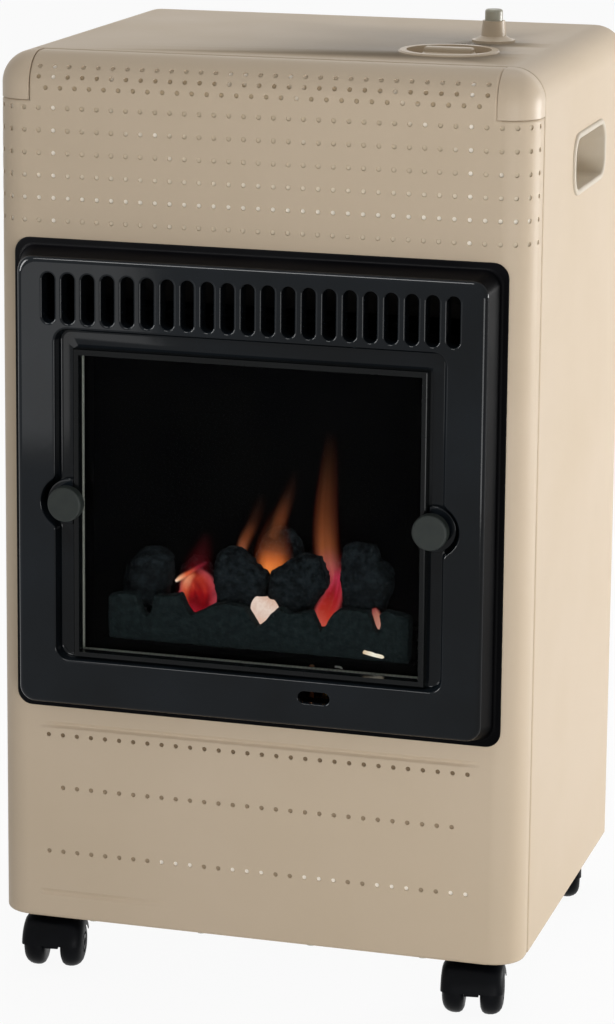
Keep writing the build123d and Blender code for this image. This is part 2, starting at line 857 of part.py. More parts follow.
def gas_pipe():
    x, y, z = injector_place()
    x += 8.0
    level = tap_top - 22.0
    tap_front = deep(dial_deep) - tap_depth / 2
    points = [
        (dial_from_middle, tap_front, level), (dial_from_middle, y, level),
        (x, y, level), (x, y, z + 12.0),
    ]
    return bent_rod(gas_pipe_radius, 12.0, points)


def pilot_group():
    """Plan place and body radius of the pilot, its electrode and the thermocouple."""
    y = deep(pilot_deep)
    return {
        "pilot": ((sight_from_middle, y), 3.5),
        "electrode": ((sight_from_middle + pilot_spacing, y), 3.0),
        "thermocouple": ((sight_from_middle - pilot_spacing, y), 2.0),
    }


def pilot_line(name, place, radius, tap_x, tap_level, tap_start):
    """Thin line from the tap down the right side and up through the firebox floor."""
    run_deep, past_burner, drop = line_runs[name]
    run_x = burner_reach + past_burner
    x, y = place
    start = (tap_x, tap_start, tap_level)
    level = high(firebox_high[0]) - drop
    end = high(firebox_high[0]) - 2 * liner - 1.0
    points = [
        start, (tap_x, deep(run_deep), tap_level), (run_x, deep(run_deep), tap_level),
        (run_x, deep(run_deep), level), (x, deep(run_deep), level),
    ]
    if abs(deep(run_deep) - y) > 1.0:
        points.append((x, y, level))
    points.append((x, y, end))
    return bent_rod(radius, line_bend, points)


def pilot_burner():
    (x, y), radius = pilot_group()["pilot"]
    floor = high(firebox_high[0])
    start = floor - 2 * liner - 1.0
    body = rod(radius, (x, y, start), (x, y, floor + 24.0))
    plate = block((x - pilot_spacing - 8, x + pilot_spacing + 8), (y - 8, y + 4),
                  (floor + running_gap, floor + running_gap + liner))
    body += plate
    for name in ("electrode", "thermocouple"):
        (px, py), hole = pilot_group()[name]
        body -= rod(hole + 0.1, (px, py, start), (px, py, floor + 10))
    hood = block((x - 5, x + 5), (y - 6, y + 5), (floor + 22.0, floor + 24.5))
    return body + hood - rod(0.5, (x, y, floor + 20.0), (x, y, floor + 30.0))


def spark_electrode():
    (x, y), radius = pilot_group()["electrode"]
    start = high(firebox_high[0]) - 2 * liner - 1.0
    tip = high(firebox_high[0]) + 20.0
    rod_end = tip + 10.0
    porcelain = rod(radius, (x, y, start), (x, y, tip))
    wire = bent_rod(0.8, 2.0, [(x, y, tip - 1.0), (x, y, rod_end - 2.0), (x - 5.5, y, rod_end - 2.0)])
    level = tap_bottom - 3.0
    lead = pilot_line("spark", (x, y), lead_radius, igniter_from_middle, level, deep(igniter_deep))
    drop = rod(lead_radius, (igniter_from_middle, deep(igniter_deep), level),
               (igniter_from_middle, deep(igniter_deep), top - piezo_length - 2.0))
    return [porcelain + wire, lead + drop]


def thermocouple():
    place, radius = pilot_group()["thermocouple"]
    x, y = place
    start = high(firebox_high[0]) - 2 * liner - 1.0
    probe = rod(radius, (x, y, start), (x, y, start + 31.0))
    probe = fillet(probe.edges().group_by(Axis.Z)[-1], 1.4)
    tap_front = deep(dial_deep) - tap_depth / 2
    lead = pilot_line("thermocouple", place, lead_radius, dial_from_middle + 12.0,
                      tap_top - 34.0, tap_front)
    return [probe, lead]


def pilot_pipe():
    place = pilot_group()["pilot"][0]
    tap_front = deep(dial_deep) - tap_depth / 2
    return pilot_line("pilot", place, pilot_pipe_radius, dial_from_middle - 12.0,
                      tap_top - 28.0, tap_front)


# ---- controls ---------------------------------------------------------------------------------------------------


def at_dial(solid):
    return Pos(dial_from_middle, deep(dial_deep), 0) * solid


def upright(radius, low, up):
    return rod(radius, (0, 0, low), (0, 0, up))


def dial_plate():
    rim_height = 2.0
    ring = upright(dial_radius, top, top + rim_height)
    ring = chamfer(ring.edges().group_by(Axis.Z)[-1], 1.2)
    bowl = upright(dial_bowl_radius, dial_floor - dial_sheet, top + 0.1)
    plate = ring + bowl
    hollow = upright(dial_bowl_radius - dial_sheet, dial_floor, top + 2 * rim_height)
    hollow = fillet(hollow.edges().group_by(Axis.Z)[0], 4.0)
    plate -= hollow
    return at_dial(plate - upright(spindle_radius + 2.0, dial_floor - 2 * dial_sheet, top))


def control_knob():
    low = dial_floor + push_travel + 1.0
    up = low + control_knob_height
    disc = fillet(upright(control_knob_radius, low, up).edges().group_by(Axis.Z)[-1], 2.0)
    grip = block((-control_knob_radius + 2, control_knob_radius - 2),
                 (-grip_width / 2, grip_width / 2), (up - 1, low + grip_height))
    grip = fillet(grip.edges().group_by(Axis.Z)[-1], 2.0)
    knob = disc + grip
    return at_dial(knob - upright(spindle_radius + 0.03, low - 1, low + grip_height - 3.0))


def spindle_top():
    return dial_floor + push_travel + 1.0 + grip_height - 3.2


def plunger_span():
    upper = tap_top + tap_neck_height
    return upper - plunger_length, upper


def tap_spindle():
    return at_dial(upright(spindle_radius, plunger_span()[1] - 6.0, spindle_top()))


def tap_plunger():
    low, up = plunger_span()
    plunger = upright(plunger_radius, low, up)
    return at_dial(plunger - upright(spindle_radius + 0.03, up - 6.2, up + 1))


def gas_tap():
    body = block((-tap_width / 2, tap_width / 2), (-tap_depth / 2, tap_depth / 2),
                 (tap_bottom, tap_top))
    body = chamfer(body.edges().filter_by(Axis.Z), 5.0)
    neck = upright(tap_neck_radius, tap_top - 0.1, tap_top + tap_neck_height)
    low, up = plunger_span()
    magnet = upright(8.0, tap_bottom - 16.0, tap_bottom + 0.1)
    body = body + neck + magnet
    return at_dial(body - upright(plunger_radius + fit_gap, low - push_travel - 1.0, up + 1))


def tap_bracket():
    """Plate under the tap with two legs down to the cross rail."""
    level = tap_top
    plate = block((-44, 44), (-tap_depth / 2 - 4, tap_depth / 2 + 4), (level, level + 2.0))
    plate -= upright(tap_neck_radius + 0.1, level - 1, level + 3)
    leg_y = (deep(shield_deep) + liner + sheet + 6.0) - deep(dial_deep)
    for sign in (-1, 1):
        inner, outer = sign * 42.0, sign * 44.0
        plate += block((min(inner, outer), max(inner, outer)), (leg_y, leg_y + 12.0),
                       (high(shield_high), level + 0.1))
        foot = sign * 34.0
        plate += block((min(foot, outer), max(foot, outer)), (leg_y, leg_y + 12.0),
                       (high(shield_high), high(shield_high) + 2.0))
    return at_dial(plate)


def inlet_nozzle():
    x, z = dial_from_middle, tap_top - 22.0
    y = deep(dial_deep) + tap_depth / 2
    nut = Plane(origin=(x, y, z), z_dir=(0, 1, 0)) * extrude(
        RegularPolygon(nut_across / 2, 6, major_radius=False), 8.0)
    tail = rod(hose_tail_radius, (x, y + 8.0, z), (x, y + 8.0 + hose_tail_length, z))
    nozzle = nut + tail
    end = y + 9.0 + hose_tail_length
    return nozzle - rod(2.5, (x, y + 2.0, z), (x, end, z))


def at_igniter(solid):
    return Pos(igniter_from_middle, deep(igniter_deep), 0) * solid


def igniter_collar():
    base = upright(collar_base_radius, top, top + 2.0)
    cone = Solid.make_cone(collar_radius, collar_radius - 1.2, collar_height - 2.0,
                           plane=Plane(origin=(0, 0, top + 2.0)))
    flare = Solid.make_cone(collar_base_radius - 2.0, collar_radius, 3.0,
                            plane=Plane(origin=(0, 0, top + 2.0)))
    collar = base + cone + flare
    return at_igniter(collar - upright(button_radius + running_gap, top - 1, top + 20.0))


def igniter_button():
    button = upright(button_radius, top + 1.0, top + button_height)
    return at_igniter(fillet(button.edges().group_by(Axis.Z)[-1], 2.0))


def igniter_body():
    """Piezo cartridge under the top, held by its nut."""
    low = top - piezo_length
    body = upright(piezo_radius, low, top)
    nut = extrude(Plane(origin=(0, 0, top - sheet - 5.0)) * RegularPolygon(12.0, 6), 4.8)
    body += nut
    body += upright(2.5, low - 2.0, low + 0.1)
    return at_igniter(body - upright(button_radius + running_gap, top - button_travel, top + 1))


# ---- handles ------------------------------------------------------------------------------------------------------


def handle_cup():
    y, z = deep(handle_deep), high(handle_high)

    def form(grow, x_from, x_to, radius):
        half_y, half_z = handle_length / 2 + grow, handle_height / 2 + grow
        return rounded_block((x_from, x_to), (y - half_y, y + half_y), (z - half_z, z + half_z),
                             radius, Axis.X)

    inner_end = half_width - handle_reach
    cup = form(handle_wall - panel_gap, inner_end - handle_wall, half_width + 0.1,
               handle_corner + handle_wall - panel_gap)
    cup += form(handle_rim, half_width, half_width + handle_rim_proud, handle_corner + handle_rim)
    return cup - form(0, inner_end, half_width + 2 * handle_rim_proud, handle_corner)


# ---- rear cover ------------------------------------------------------------------------------------------------------


def rear_cover():
    half = cover_half_width
    low, up = high(cover_high[0]), high(cover_high[1])
    rim_front = back + panel_gap
    rim = rounded_block((-half, half), (rim_front, rim_front + sheet), (low, up), 6.0, Axis.Y)

    def dish(inset, y_from, y_to):
        return rounded_block(
            (-half + cover_rim + inset, half - cover_rim - inset), (y_from, y_to),
            (low + inset, up - cover_rim - inset), 8.0, Axis.Y)

    cover = rim + dish(0, rim_front, back + cover_dish) - dish(sheet, rim_front - 1, cover_inside)
    for row in range(vent_count):
        for z in (high(70.0) + row * vent_pitch, high(500.0) + row * vent_pitch):
            for x in (-75.0, 75.0):
                cover -= stadium(x, z, vent_length, vent_width, False,
                                 cover_inside - 1, back + 2 * cover_dish)
    for sign in (-1, 1):
        x = sign * pivot_from_middle
        notch = ear_thickness / 2 + 1.2
        cover -= block((x - notch, x + notch), (rim_front - 1, pivot_y + 5.0),
                       (low - 1, pivot_z + ear_radius + 1.5))
        inner = x - sign * (notch + 0.6)
        outer = inner - sign * 3.0
        lug = block((min(inner, outer), max(inner, outer)), (pivot_y - 3.8, cover_inside + 0.1),
                    (pivot_z - 3.8, pivot_z + 3.8))
        lug -= rod(pivot_radius + fit_gap, (min(inner, outer) - 1, pivot_y, pivot_z),
                   (max(inner, outer) + 1, pivot_y, pivot_z))
        cover += lug
    return cover


def rear_cover_pins():
    pins = []
    for sign in (-1, 1):
        outer = sign * (pivot_from_middle + ear_thickness / 2 + 1.0)
        inner = sign * (pivot_from_middle - ear_thickness / 2 - 5.4)
        pins.append(rod(pivot_radius, (outer, pivot_y, pivot_z), (inner, pivot_y, pivot_z)))
    return pins


def main():
    os.makedirs("parts", exist_ok=True)
    save("front_cover", front_cover())
    right_cap, left_cap = corner_caps()
    save("corner_cap_right", right_cap)
    save("corner_cap_left", left_cap)
    save("casing_wrap", casing_wrap())
    save("base_plate", base_plate())
    save("cover_screws", cover_screws())
    save("castor_sockets", castor_sockets())
    save_castors()
    save("fire_frame", fire_frame())
    save("glass_frame", glass_frame())
    save("glass_pane", glass_pane())
    save("glass_seal", glass_seal())
    save("retaining_knob_left", retaining_knob(-1))
    save("retaining_knob_right", retaining_knob(1))
    save("firebox", firebox())
    save("heat_shield", heat_shield())
    save("cross_rail", cross_rail())
    save("burner_tray", burner_tray())
    save("front_ceramic", front_ceramic())
    for name, lump in front_coals().items():
        save(name, lump)
    save("rear_coals", rear_coals())
    save("burner_tube", burner_tube())
    save("injector", injector())
    save("gas_pipe", gas_pipe())
    save("pilot_pipe", pilot_pipe())
    save("pilot_burner", pilot_burner())
    save("spark_electrode", spark_electrode())
    save("thermocouple", thermocouple())
    save("dial_plate", dial_plate())
    save("control_knob", control_knob())
    save("tap_spindle", tap_spindle())
    save("tap_plunger", tap_plunger())
    save("gas_tap", gas_tap())
    save("tap_bracket", tap_bracket())
    save("inlet_nozzle", inlet_nozzle())
    save("igniter_collar", igniter_collar())
    save("igniter_button", igniter_button())
    save("igniter_body", igniter_body())
    save("handle_cup_right", handle_cup())
    save("handle_cup_left", mirrored(handle_cup()))
    save("rear_cover", rear_cover())
    save("rear_cover_pins", rear_cover_pins())


main()
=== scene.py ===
import json
import math
from functools import partial

import bmesh
import bpy
from mathutils import Matrix, Vector, noise
from mathutils.geometry import delaunay_2d_cdt


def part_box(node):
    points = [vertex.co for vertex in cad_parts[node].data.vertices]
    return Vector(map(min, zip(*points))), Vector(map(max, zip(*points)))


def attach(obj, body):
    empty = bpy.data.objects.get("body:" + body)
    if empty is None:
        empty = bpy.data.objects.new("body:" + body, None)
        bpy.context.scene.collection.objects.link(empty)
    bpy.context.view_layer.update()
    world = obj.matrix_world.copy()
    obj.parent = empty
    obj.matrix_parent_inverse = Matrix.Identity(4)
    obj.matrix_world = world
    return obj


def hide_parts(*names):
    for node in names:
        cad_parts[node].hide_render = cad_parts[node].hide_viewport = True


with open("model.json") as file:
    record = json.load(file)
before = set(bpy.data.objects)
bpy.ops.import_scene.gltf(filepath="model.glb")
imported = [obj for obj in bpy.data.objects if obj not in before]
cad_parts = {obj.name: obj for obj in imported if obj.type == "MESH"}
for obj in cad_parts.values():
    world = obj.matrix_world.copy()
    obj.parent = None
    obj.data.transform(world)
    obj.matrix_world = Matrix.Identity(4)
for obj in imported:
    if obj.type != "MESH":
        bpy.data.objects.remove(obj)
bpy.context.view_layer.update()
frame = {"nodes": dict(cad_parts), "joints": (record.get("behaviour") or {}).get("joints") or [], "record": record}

mm = 0.001

# places are in millimetres: x from the middle, deep from the cover's face, high from the casing's bottom edge
coverLow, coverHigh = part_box("front_cover")
frontY = coverLow[1]
bottomZ = coverLow[2]
halfWidth = coverHigh[0] / mm
casingHeight = (coverHigh[2] - coverLow[2]) / mm
seamDeep = (coverHigh[1] - coverLow[1]) / mm


def at(x, deep, high):
    return Vector((x * mm, frontY + deep * mm, bottomZ + high * mm))


def linearColour(hexValue):
    channels = [int(hexValue[i:i + 2], 16) / 255 for i in (1, 3, 5)]
    lit = [c / 12.92 if c <= 0.04045 else ((c + 0.055) / 1.055) ** 2.4 for c in channels]
    return (*lit, 1.0)


# ---- materials

def addNode(material, kind, inputs=None, **settings):
    # an input takes a plain value, the socket that feeds it, or a node that feeds it by its first output
    node = material.node_tree.nodes.new("ShaderNode" + kind)
    for key, value in settings.items():
        setattr(node, key, value)
    for key, value in (inputs or {}).items():
        if isinstance(value, bpy.types.Node):
            value = value.outputs[0]
        if isinstance(value, bpy.types.NodeSocket):
            material.node_tree.links.new(value, node.inputs[key])
        else:
            node.inputs[key].default_value = value
    return node


def newMaterial(name):
    # gives back the material and the call that adds a node to it
    material = bpy.data.materials.new(name)
    material.use_nodes = True
    material.node_tree.nodes.clear()
    return material, partial(addNode, material)


def setRamp(node, stops):
    ramp = node.color_ramp
    while len(ramp.elements) < len(stops):
        ramp.elements.new(0.5)
    for element, (place, colour) in zip(ramp.elements, stops):
        element.position = place
        element.color = colour
    return node.outputs["Color"]


def perMetre(size):
    return 1 / (size * mm)  # pattern scale for a feature of this many millimetres


def endMaterial(material, shader):
    addNode(material, "OutputMaterial", {"Surface": shader})
    return material


def mottledSurface(name, look):
    # a skin whose colour drifts slowly, with a fine relief: sprayed, dipped, moulded or drawn finishes
    material, add = newMaterial(name)
    place = add("TexCoord").outputs["Object"]
    if "stretch" in look:
        place = add("Mapping", {"Scale": look["stretch"], "Vector": place})
    drift = add("TexNoise", {"Scale": perMetre(look["driftSize"]), "Detail": 3.0, "Vector": place})
    grain = add("TexNoise", {"Scale": perMetre(look["grainSize"]), "Detail": 2.0, "Vector": place})
    patch = add("MapRange", {"From Min": 0.35, "From Max": 0.65, "Value": drift})
    colour = add("Mix", {0: patch, 6: linearColour(look["colour"]), 7: linearColour(look["shade"])},
                 data_type="RGBA").outputs[2]
    low, high = look["roughness"]
    rough = add("MapRange", {"From Min": 0.3, "From Max": 0.7, "To Min": low, "To Max": high, "Value": drift})
    relief = add("Bump", {"Strength": look["reliefStrength"], "Distance": look["relief"] * mm, "Height": grain})
    shader = add("BsdfPrincipled", {**look["shader"], "Base Color": colour, "Roughness": rough, "Normal": relief})
    return endMaterial(material, shader)


surfaceKeys = ("colour", "shade", "driftSize", "grainSize", "roughness", "relief", "reliefStrength", "shader",
               "stretch")
surfaces = {
    # stove enamel, sprayed and baked: satin, with the slight waviness of a sprayed coat
    "casing_enamel": ("beige_stove_enamel_sprayed", "#cbb9a2", "#c8b69e", 160, 1.6, (0.42, 0.5), 0.05, 0.35,
                      {"IOR": 1.5, "Specular IOR Level": 0.12}),
    # plastics moulded in spark-eroded tools: an even fine grain
    "cap_plastic": ("beige_abs_moulded", "#cbb9a2", "#c8b59d", 60, 0.9, (0.42, 0.5), 0.05, 0.3,
                    {"IOR": 1.5, "Specular IOR Level": 0.3}),
    "handle_plastic": ("pale_abs_moulded", "#cbc0af", "#c6baa7", 40, 0.9, (0.4, 0.5), 0.05, 0.3,
                       {"IOR": 1.5, "Specular IOR Level": 0.3}),
    "dial_plastic": ("beige_acetal_moulded", "#cab79d", "#c3b096", 30, 0.8, (0.3, 0.38), 0.03, 0.3, {"IOR": 1.48}),
    "knob_plastic": ("beige_nylon_moulded", "#bfae96", "#b8a68d", 20, 0.8, (0.34, 0.42), 0.03, 0.3, {"IOR": 1.53}),
    "button_plastic": ("grey_nylon_moulded", "#a9a592", "#9d9a89", 9, 0.7, (0.28, 0.38), 0.03, 0.3, {"IOR": 1.53}),
    "igniter_plastic": ("black_igniter_nylon_moulded", "#111213", "#1a1b1d", 12, 0.8, (0.4, 0.5), 0.05, 0.4,
                        {"IOR": 1.53}),
    "castor_plastic": ("black_nylon_moulded", "#030406", "#06070a", 14, 0.8, (0.32, 0.5), 0.05, 0.4,
                       {"IOR": 1.53, "Specular IOR Level": 0.06}),
    # phenolic, compression moulded: dull, with a greenish grey cast
    "retaining_plastic": ("grey_phenolic_moulded", "#1f2422", "#262b28", 8, 0.9, (0.5, 0.62), 0.08, 0.5,
                          {"IOR": 1.55, "Specular IOR Level": 0.25}),
    # vitreous enamel, fused glass on steel: a deep gloss that ripples like orange peel
    "frame_enamel": ("black_vitreous_enamel_fused", "#090c0f", "#06080a", 80, 9.0, (0.05, 0.09), 0.04, 0.3,
                     {"IOR": 1.5, "Specular IOR Level": 0.13}),
    # the same enamel on the frame's flange and outer walls, nearly black and dull: painted shade
    "shaded_flange_enamel": ("black_vitreous_enamel_thin", "#020203", "#040405", 60, 3.0, (0.4, 0.5), 0.03, 0.3,
                    {"IOR": 1.5, "Specular IOR Level": 0.03}),
    "trim_enamel": ("black_enamel_rolled_trim", "#0a0c0d", "#0d0f10", 40, 5.0, (0.12, 0.18), 0.03, 0.3,
                    {"IOR": 1.5, "Specular IOR Level": 0.14}),
    # heat-proof coating with soot on it: no gloss at all
    "firebox_steel": ("black_heatproof_coating_sooted", "#030304", "#070707", 35, 1.4, (0.75, 0.95), 0.15, 0.5,
                      {"IOR": 1.45, "Specular IOR Level": 0.0}),
    "porcelain": ("white_porcelain_glazed", "#e9e4d8", "#e2dccd", 6, 1.5, (0.08, 0.14), 0.02, 0.3,
                  {"IOR": 1.55, "Coat Weight": 0.5}),
    # metals: brass turned on a lathe, copper drawn through a die, zinc alloy cast in a die, steel pins ground
    "brass": ("brass_turned", "#c9a55c", "#b8924a", 7, 0.4, (0.24, 0.4), 0.02, 0.4, {"Metallic": 1.0}, (1, 1, 12)),
    "copper": ("copper_drawn", "#c78a66", "#a86b4a", 25, 0.8, (0.28, 0.5), 0.02, 0.4, {"Metallic": 1.0}),
    "tap_alloy": ("zinc_alloy_die_cast", "#b3b3b0", "#9d9d9b", 12, 0.7, (0.42, 0.6), 0.08, 0.5, {"Metallic": 1.0}),
    "castor_steel": ("steel_pin_ground", "#b6b6b4", "#a5a5a3", 6, 0.3, (0.22, 0.35), 0.02, 0.4, {"Metallic": 1.0},
                     (1, 1, 20)),
    "screw_steel": ("steel_screw_zinc_plated", "#b9bab4", "#a7a89c", 5, 0.5, (0.25, 0.4), 0.03, 0.4,
                    {"Metallic": 1.0}),
}
# the finish of each slot
finishes = {slot: mottledSurface(name, dict(zip(surfaceKeys, look))) for slot, (name, *look) in surfaces.items()}


def spangledZinc(name, look):
    # hot-dip zinc: crystals a few millimetres wide, each with its own tone and gloss
    material, add = newMaterial(name)
    place = add("TexCoord").outputs["Object"]
    crystal = add("TexVoronoi", {"Scale": perMetre(look["crystal"]), "Vector": place}).outputs["Color"]
    tone = add("SeparateColor", {"Color": crystal})
    colour = add("Mix", {0: tone.outputs["Red"], 6: linearColour(look["colour"]), 7: linearColour(look["shade"])},
                 data_type="RGBA").outputs[2]
    rough = add("MapRange", {"To Min": 0.34, "To Max": 0.52, "Value": tone.outputs["Green"]})
    shader = add("BsdfPrincipled", {"Metallic": 1.0, "Base Color": colour, "Roughness": rough})
    return endMaterial(material, shader)


finishes["zinc_steel"] = spangledZinc("steel_sheet_hot_dip_zinc",
                                      {"crystal": 7, "colour": "#bfc2c3", "shade": "#a3a6a8"})
# the same sheet above the fire, made near black: painted shade behind the fire frame's slots
shadedZinc = spangledZinc("steel_sheet_zinc_painted_shade", {"crystal": 7, "colour": "#2a2826", "shade": "#1d1c1b"})


def wovenSeal(name, look):
    # glass-fibre cord, braided: crossing waves of yarn about a millimetre wide
    material, add = newMaterial(name)
    place = add("TexCoord").outputs["Object"]
    yarns = []
    for turn in (0.785, -0.785):
        slanted = add("Mapping", {"Rotation": (0, turn, 0), "Vector": place})
        yarns.append(add("TexWave", {"Scale": perMetre(look["yarn"]) / 6.28, "Vector": slanted}).outputs["Fac"])
    weave = add("Math", {0: yarns[0], 1: yarns[1]}, operation="MAXIMUM")
    colour = add("Mix", {0: weave, 6: linearColour(look["shade"]), 7: linearColour(look["colour"])},
                 data_type="RGBA").outputs[2]
    relief = add("Bump", {"Strength": 0.6, "Distance": 0.2 * mm, "Height": weave})
    shader = add("BsdfPrincipled", {"Roughness": 0.9, "Base Color": colour, "Normal": relief})
    return endMaterial(material, shader)


finishes["seal_rope"] = wovenSeal("glass_fibre_cord_braided", {"yarn": 1.2, "colour": "#a9a79c", "shade": "#77756c"})


def ceramicFibre(name, look):
    # vacuum-formed ceramic fibre, painted black and sooted: pores, and grey ash where it faces up
    material, add = newMaterial(name)
    place = add("TexCoord").outputs["Object"]
    facing = add("NewGeometry").outputs["Normal"]
    upward = add("SeparateXYZ", {"Vector": facing}).outputs["Z"]
    grain = add("TexNoise", {"Scale": perMetre(look["grain"]), "Detail": 6.0, "Roughness": 0.7, "Vector": place})
    pores = add("TexVoronoi", {"Scale": perMetre(look["pore"]), "Vector": place}).outputs["Distance"]
    lit = add("MapRange", {"From Min": -0.6, "From Max": 1.0, "To Min": 0.12, "To Max": look["ashAmount"],
                           "Value": upward})
    speck = add("MapRange", {"From Min": 0.42, "From Max": 0.62, "Value": grain})
    ash = add("Math", {0: lit, 1: speck}, operation="MULTIPLY")
    colour = add("Mix", {0: ash, 6: linearColour(look["colour"]), 7: linearColour(look["ash"])},
                 data_type="RGBA").outputs[2]
    rise = add("Math", {0: grain, 1: pores}, operation="ADD")
    relief = add("Bump", {"Strength": 0.8, "Distance": look["relief"] * mm, "Height": rise})
    shader = add("BsdfPrincipled", {"Roughness": 0.93, "Specular IOR Level": 0.12, "Base Color": colour,
                                    "Normal": relief})
    return endMaterial(material, shader)


finishes["ceramic"] = ceramicFibre("ceramic_fibre_strip_formed", {
    "colour": "#111819", "ash": "#2f3a3b", "ashAmount": 0.8, "grain": 5.0, "pore": 2.4, "relief": 0.6})
finishes["coal"] = ceramicFibre("ceramic_fibre_coal_formed", {
    "colour": "#080b0d", "ash": "#333b40", "ashAmount": 0.8, "grain": 6.0, "pore": 3.0, "relief": 1.0})


def heatproofGlass(name):
    # flat glass pane: it only adds a faint reflection in front of the fire
    material, add = newMaterial(name)
    place = add("TexCoord").outputs["Object"]
    haze = add("TexNoise", {"Scale": perMetre(60), "Detail": 2.0, "Vector": place})
    rough = add("MapRange", {"To Min": 0.0, "To Max": 0.03, "Value": haze})
    clear = add("BsdfTransparent", {"Color": (0.93, 0.95, 0.95, 1)})
    gloss = add("BsdfGlossy", {"Color": (1, 1, 1, 1), "Roughness": rough})
    mirror = add("Fresnel", {"IOR": 1.06})
    shader = add("MixShader", {0: mirror, 1: clear, 2: gloss})
    return endMaterial(material, shader)


finishes["glass"] = heatproofGlass("glass_ceramic_rolled")

# the heat shield and cross rail take the near black zinc: painted shade behind the slots
shadedNodes = ("heat_shield", "cross_rail")
for subpart in frame["record"]["subparts"]:
    node = frame["nodes"][subpart["node"]]
    node.data.materials.clear()
    finish = shadedZinc if subpart["node"] in shadedNodes else finishes[subpart["material_slot"]]
    node.data.materials.append(finish)
print("materials made:", len(bpy.data.materials))


# ---- camera and light

photoHeight = 1024
cameraPlace = {
    "place": (0.780, -2.7873, 1.0638), "down": 11.293, "roll": 0.27, "turn": 16.96,
    "focal": 3678.9, "middle": (230.0, 350.0), "photo": (615, photoHeight),
}


def addCamera(setup):
    data = bpy.data.cameras.new("camera")
    data.sensor_width = 36
    data.lens = setup["focal"] * data.sensor_width / photoHeight
    width, height = setup["photo"]
    data.shift_x = (width / 2 - setup["middle"][0]) / photoHeight
    data.shift_y = (setup["middle"][1] - height / 2) / photoHeight
    camera = bpy.data.objects.new("camera", data)
    camera.matrix_world = (Matrix.Translation(setup["place"])
                           @ Matrix.Rotation(math.radians(setup["turn"]), 4, "Z")
                           @ Matrix.Rotation(math.radians(90 - setup["down"]), 4, "X")
                           @ Matrix.Rotation(math.radians(setup["roll"]), 4, "Z"))
    bpy.context.collection.objects.link(camera)
    bpy.context.scene.camera = camera


addCamera(cameraPlace)

lamps = {
    "rightKey": {"place": (2.1, 1.3, 0.42), "size": (1.0, 0.5), "watts": 36},
    "lowFill": {"place": (1.0, -1.6, 0.2), "size": (0.8, 0.5), "watts": 12},
    "topSoft": {"place": (0.1, 0.6, 2.4), "size": (1.2, 1.2), "watts": 7},
}
# lamps that only the black fire frame mirrors, along its rolled edges and softly in its face
frameLamps = {
    "leftGlint": {"place": (-1.5, -1.3, 0.9), "size": (0.5, 1.0), "watts": 55},
    "topGlint": {"place": (-0.3, -1.2, 2.0), "size": (1.0, 0.4), "watts": 32},
    "faceGlow": {"place": (-0.95, -1.95, 0.1), "size": (0.55, 0.6), "watts": 2.8},
}
framePieces = bpy.data.collections.new("frame_pieces")
lampAim = Vector((0, 0, 0.4))


def addLamps(group, receivers=None):
    for lampName, lamp in group.items():
        data = bpy.data.lights.new(lampName, "AREA")
        data.shape = "RECTANGLE"
        data.size, data.size_y = lamp["size"]
        data.energy = lamp["watts"]
        light = bpy.data.objects.new(lampName, data)
        light.location = lamp["place"]
        light.rotation_euler = (lampAim - light.location).to_track_quat("-Z", "Y").to_euler()
        bpy.context.collection.objects.link(light)
        if receivers:
            light.light_linking.receiver_collection = receivers


addLamps(lamps)
addLamps(frameLamps, framePieces)


def seenRays(add):
    # 1 for what the camera sees directly, in gloss or through glass
    path = add("LightPath").outputs
    direct = add("Math", {0: path["Is Camera Ray"], 1: path["Is Glossy Ray"]}, operation="MAXIMUM")
    return add("Math", {0: direct, 1: path["Is Transmission Ray"]}, operation="MAXIMUM")


studio = {"horizon": 0.54, "zenith": 0.37, "floorSeen": 0.93, "floorColour": 0.88}


def addWorld():
    world = bpy.data.worlds.new("studio")
    world.use_nodes = True
    world.node_tree.nodes.clear()
    bpy.context.scene.world = world
    add = partial(addNode, world)
    seen = seenRays(add)
    # the studio's walls light it more than its ceiling
    toward = add("TexCoord").outputs["Generated"]
    high = add("SeparateXYZ", {"Vector": toward}).outputs["Z"]
    level = add("MapRange", {"From Max": 0.9, "To Min": studio["horizon"], "To Max": studio["zenith"],
                             "Value": high})
    lit = add("Background", {"Color": (1, 1, 1, 1), "Strength": level})
    shown = add("Background", {"Color": (1, 1, 1, 1), "Strength": 1.0})
    both = add("MixShader", {0: seen, 1: lit, 2: shown})
    add("OutputWorld", {"Surface": both})


def addFloor():
    reach = 12
    mesh = bpy.data.meshes.new("floor")
    mesh.from_pydata([(-reach, -reach, 0), (reach, -reach, 0), (reach, reach, 0), (-reach, reach, 0)], [],
                     [(0, 1, 2, 3)])
    floor = bpy.data.objects.new("floor", mesh)
    bpy.context.collection.objects.link(floor)
    material, add = newMaterial("white_backdrop_paper")
    seen = seenRays(add)
    part = add("Math", {0: seen, 1: studio["floorSeen"]}, operation="MULTIPLY")
    paleness = studio["floorColour"]
    paper = add("BsdfDiffuse", {"Color": (paleness, paleness, paleness, 1)})
    glow = add("Emission", {"Color": (1, 1, 1, 1), "Strength": 1.0})
    both = add("MixShader", {0: part, 1: paper, 2: glow})
    mesh.materials.append(endMaterial(material, both))


addWorld()
addFloor()
bpy.context.scene.view_settings.view_transform = "Standard"
print("camera, lamps and floor placed")


# ---- mesh helpers

def makePiece(name, points, faces, slot, body="cabinet", nodes=(), material=None):
    mesh = bpy.data.meshes.new(name)
    mesh.from_pydata(points, [], faces)
    mesh.materials.append(material or finishes[slot])
    piece = bpy.data.objects.new(name, mesh)
    bpy.context.collection.objects.link(piece)
    if nodes:
        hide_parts(*nodes)
    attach(piece, body)
    return piece


def shadeSmooth(mesh):
    mesh.polygons.foreach_set("use_smooth", [True] * len(mesh.polygons))


def addSheet(piece, thickness):
    # gives the piece's skin its thickness, on its inner side
    wall = piece.modifiers.new("sheet", "SOLIDIFY")
    wall.thickness = thickness * mm
    wall.offset = -1


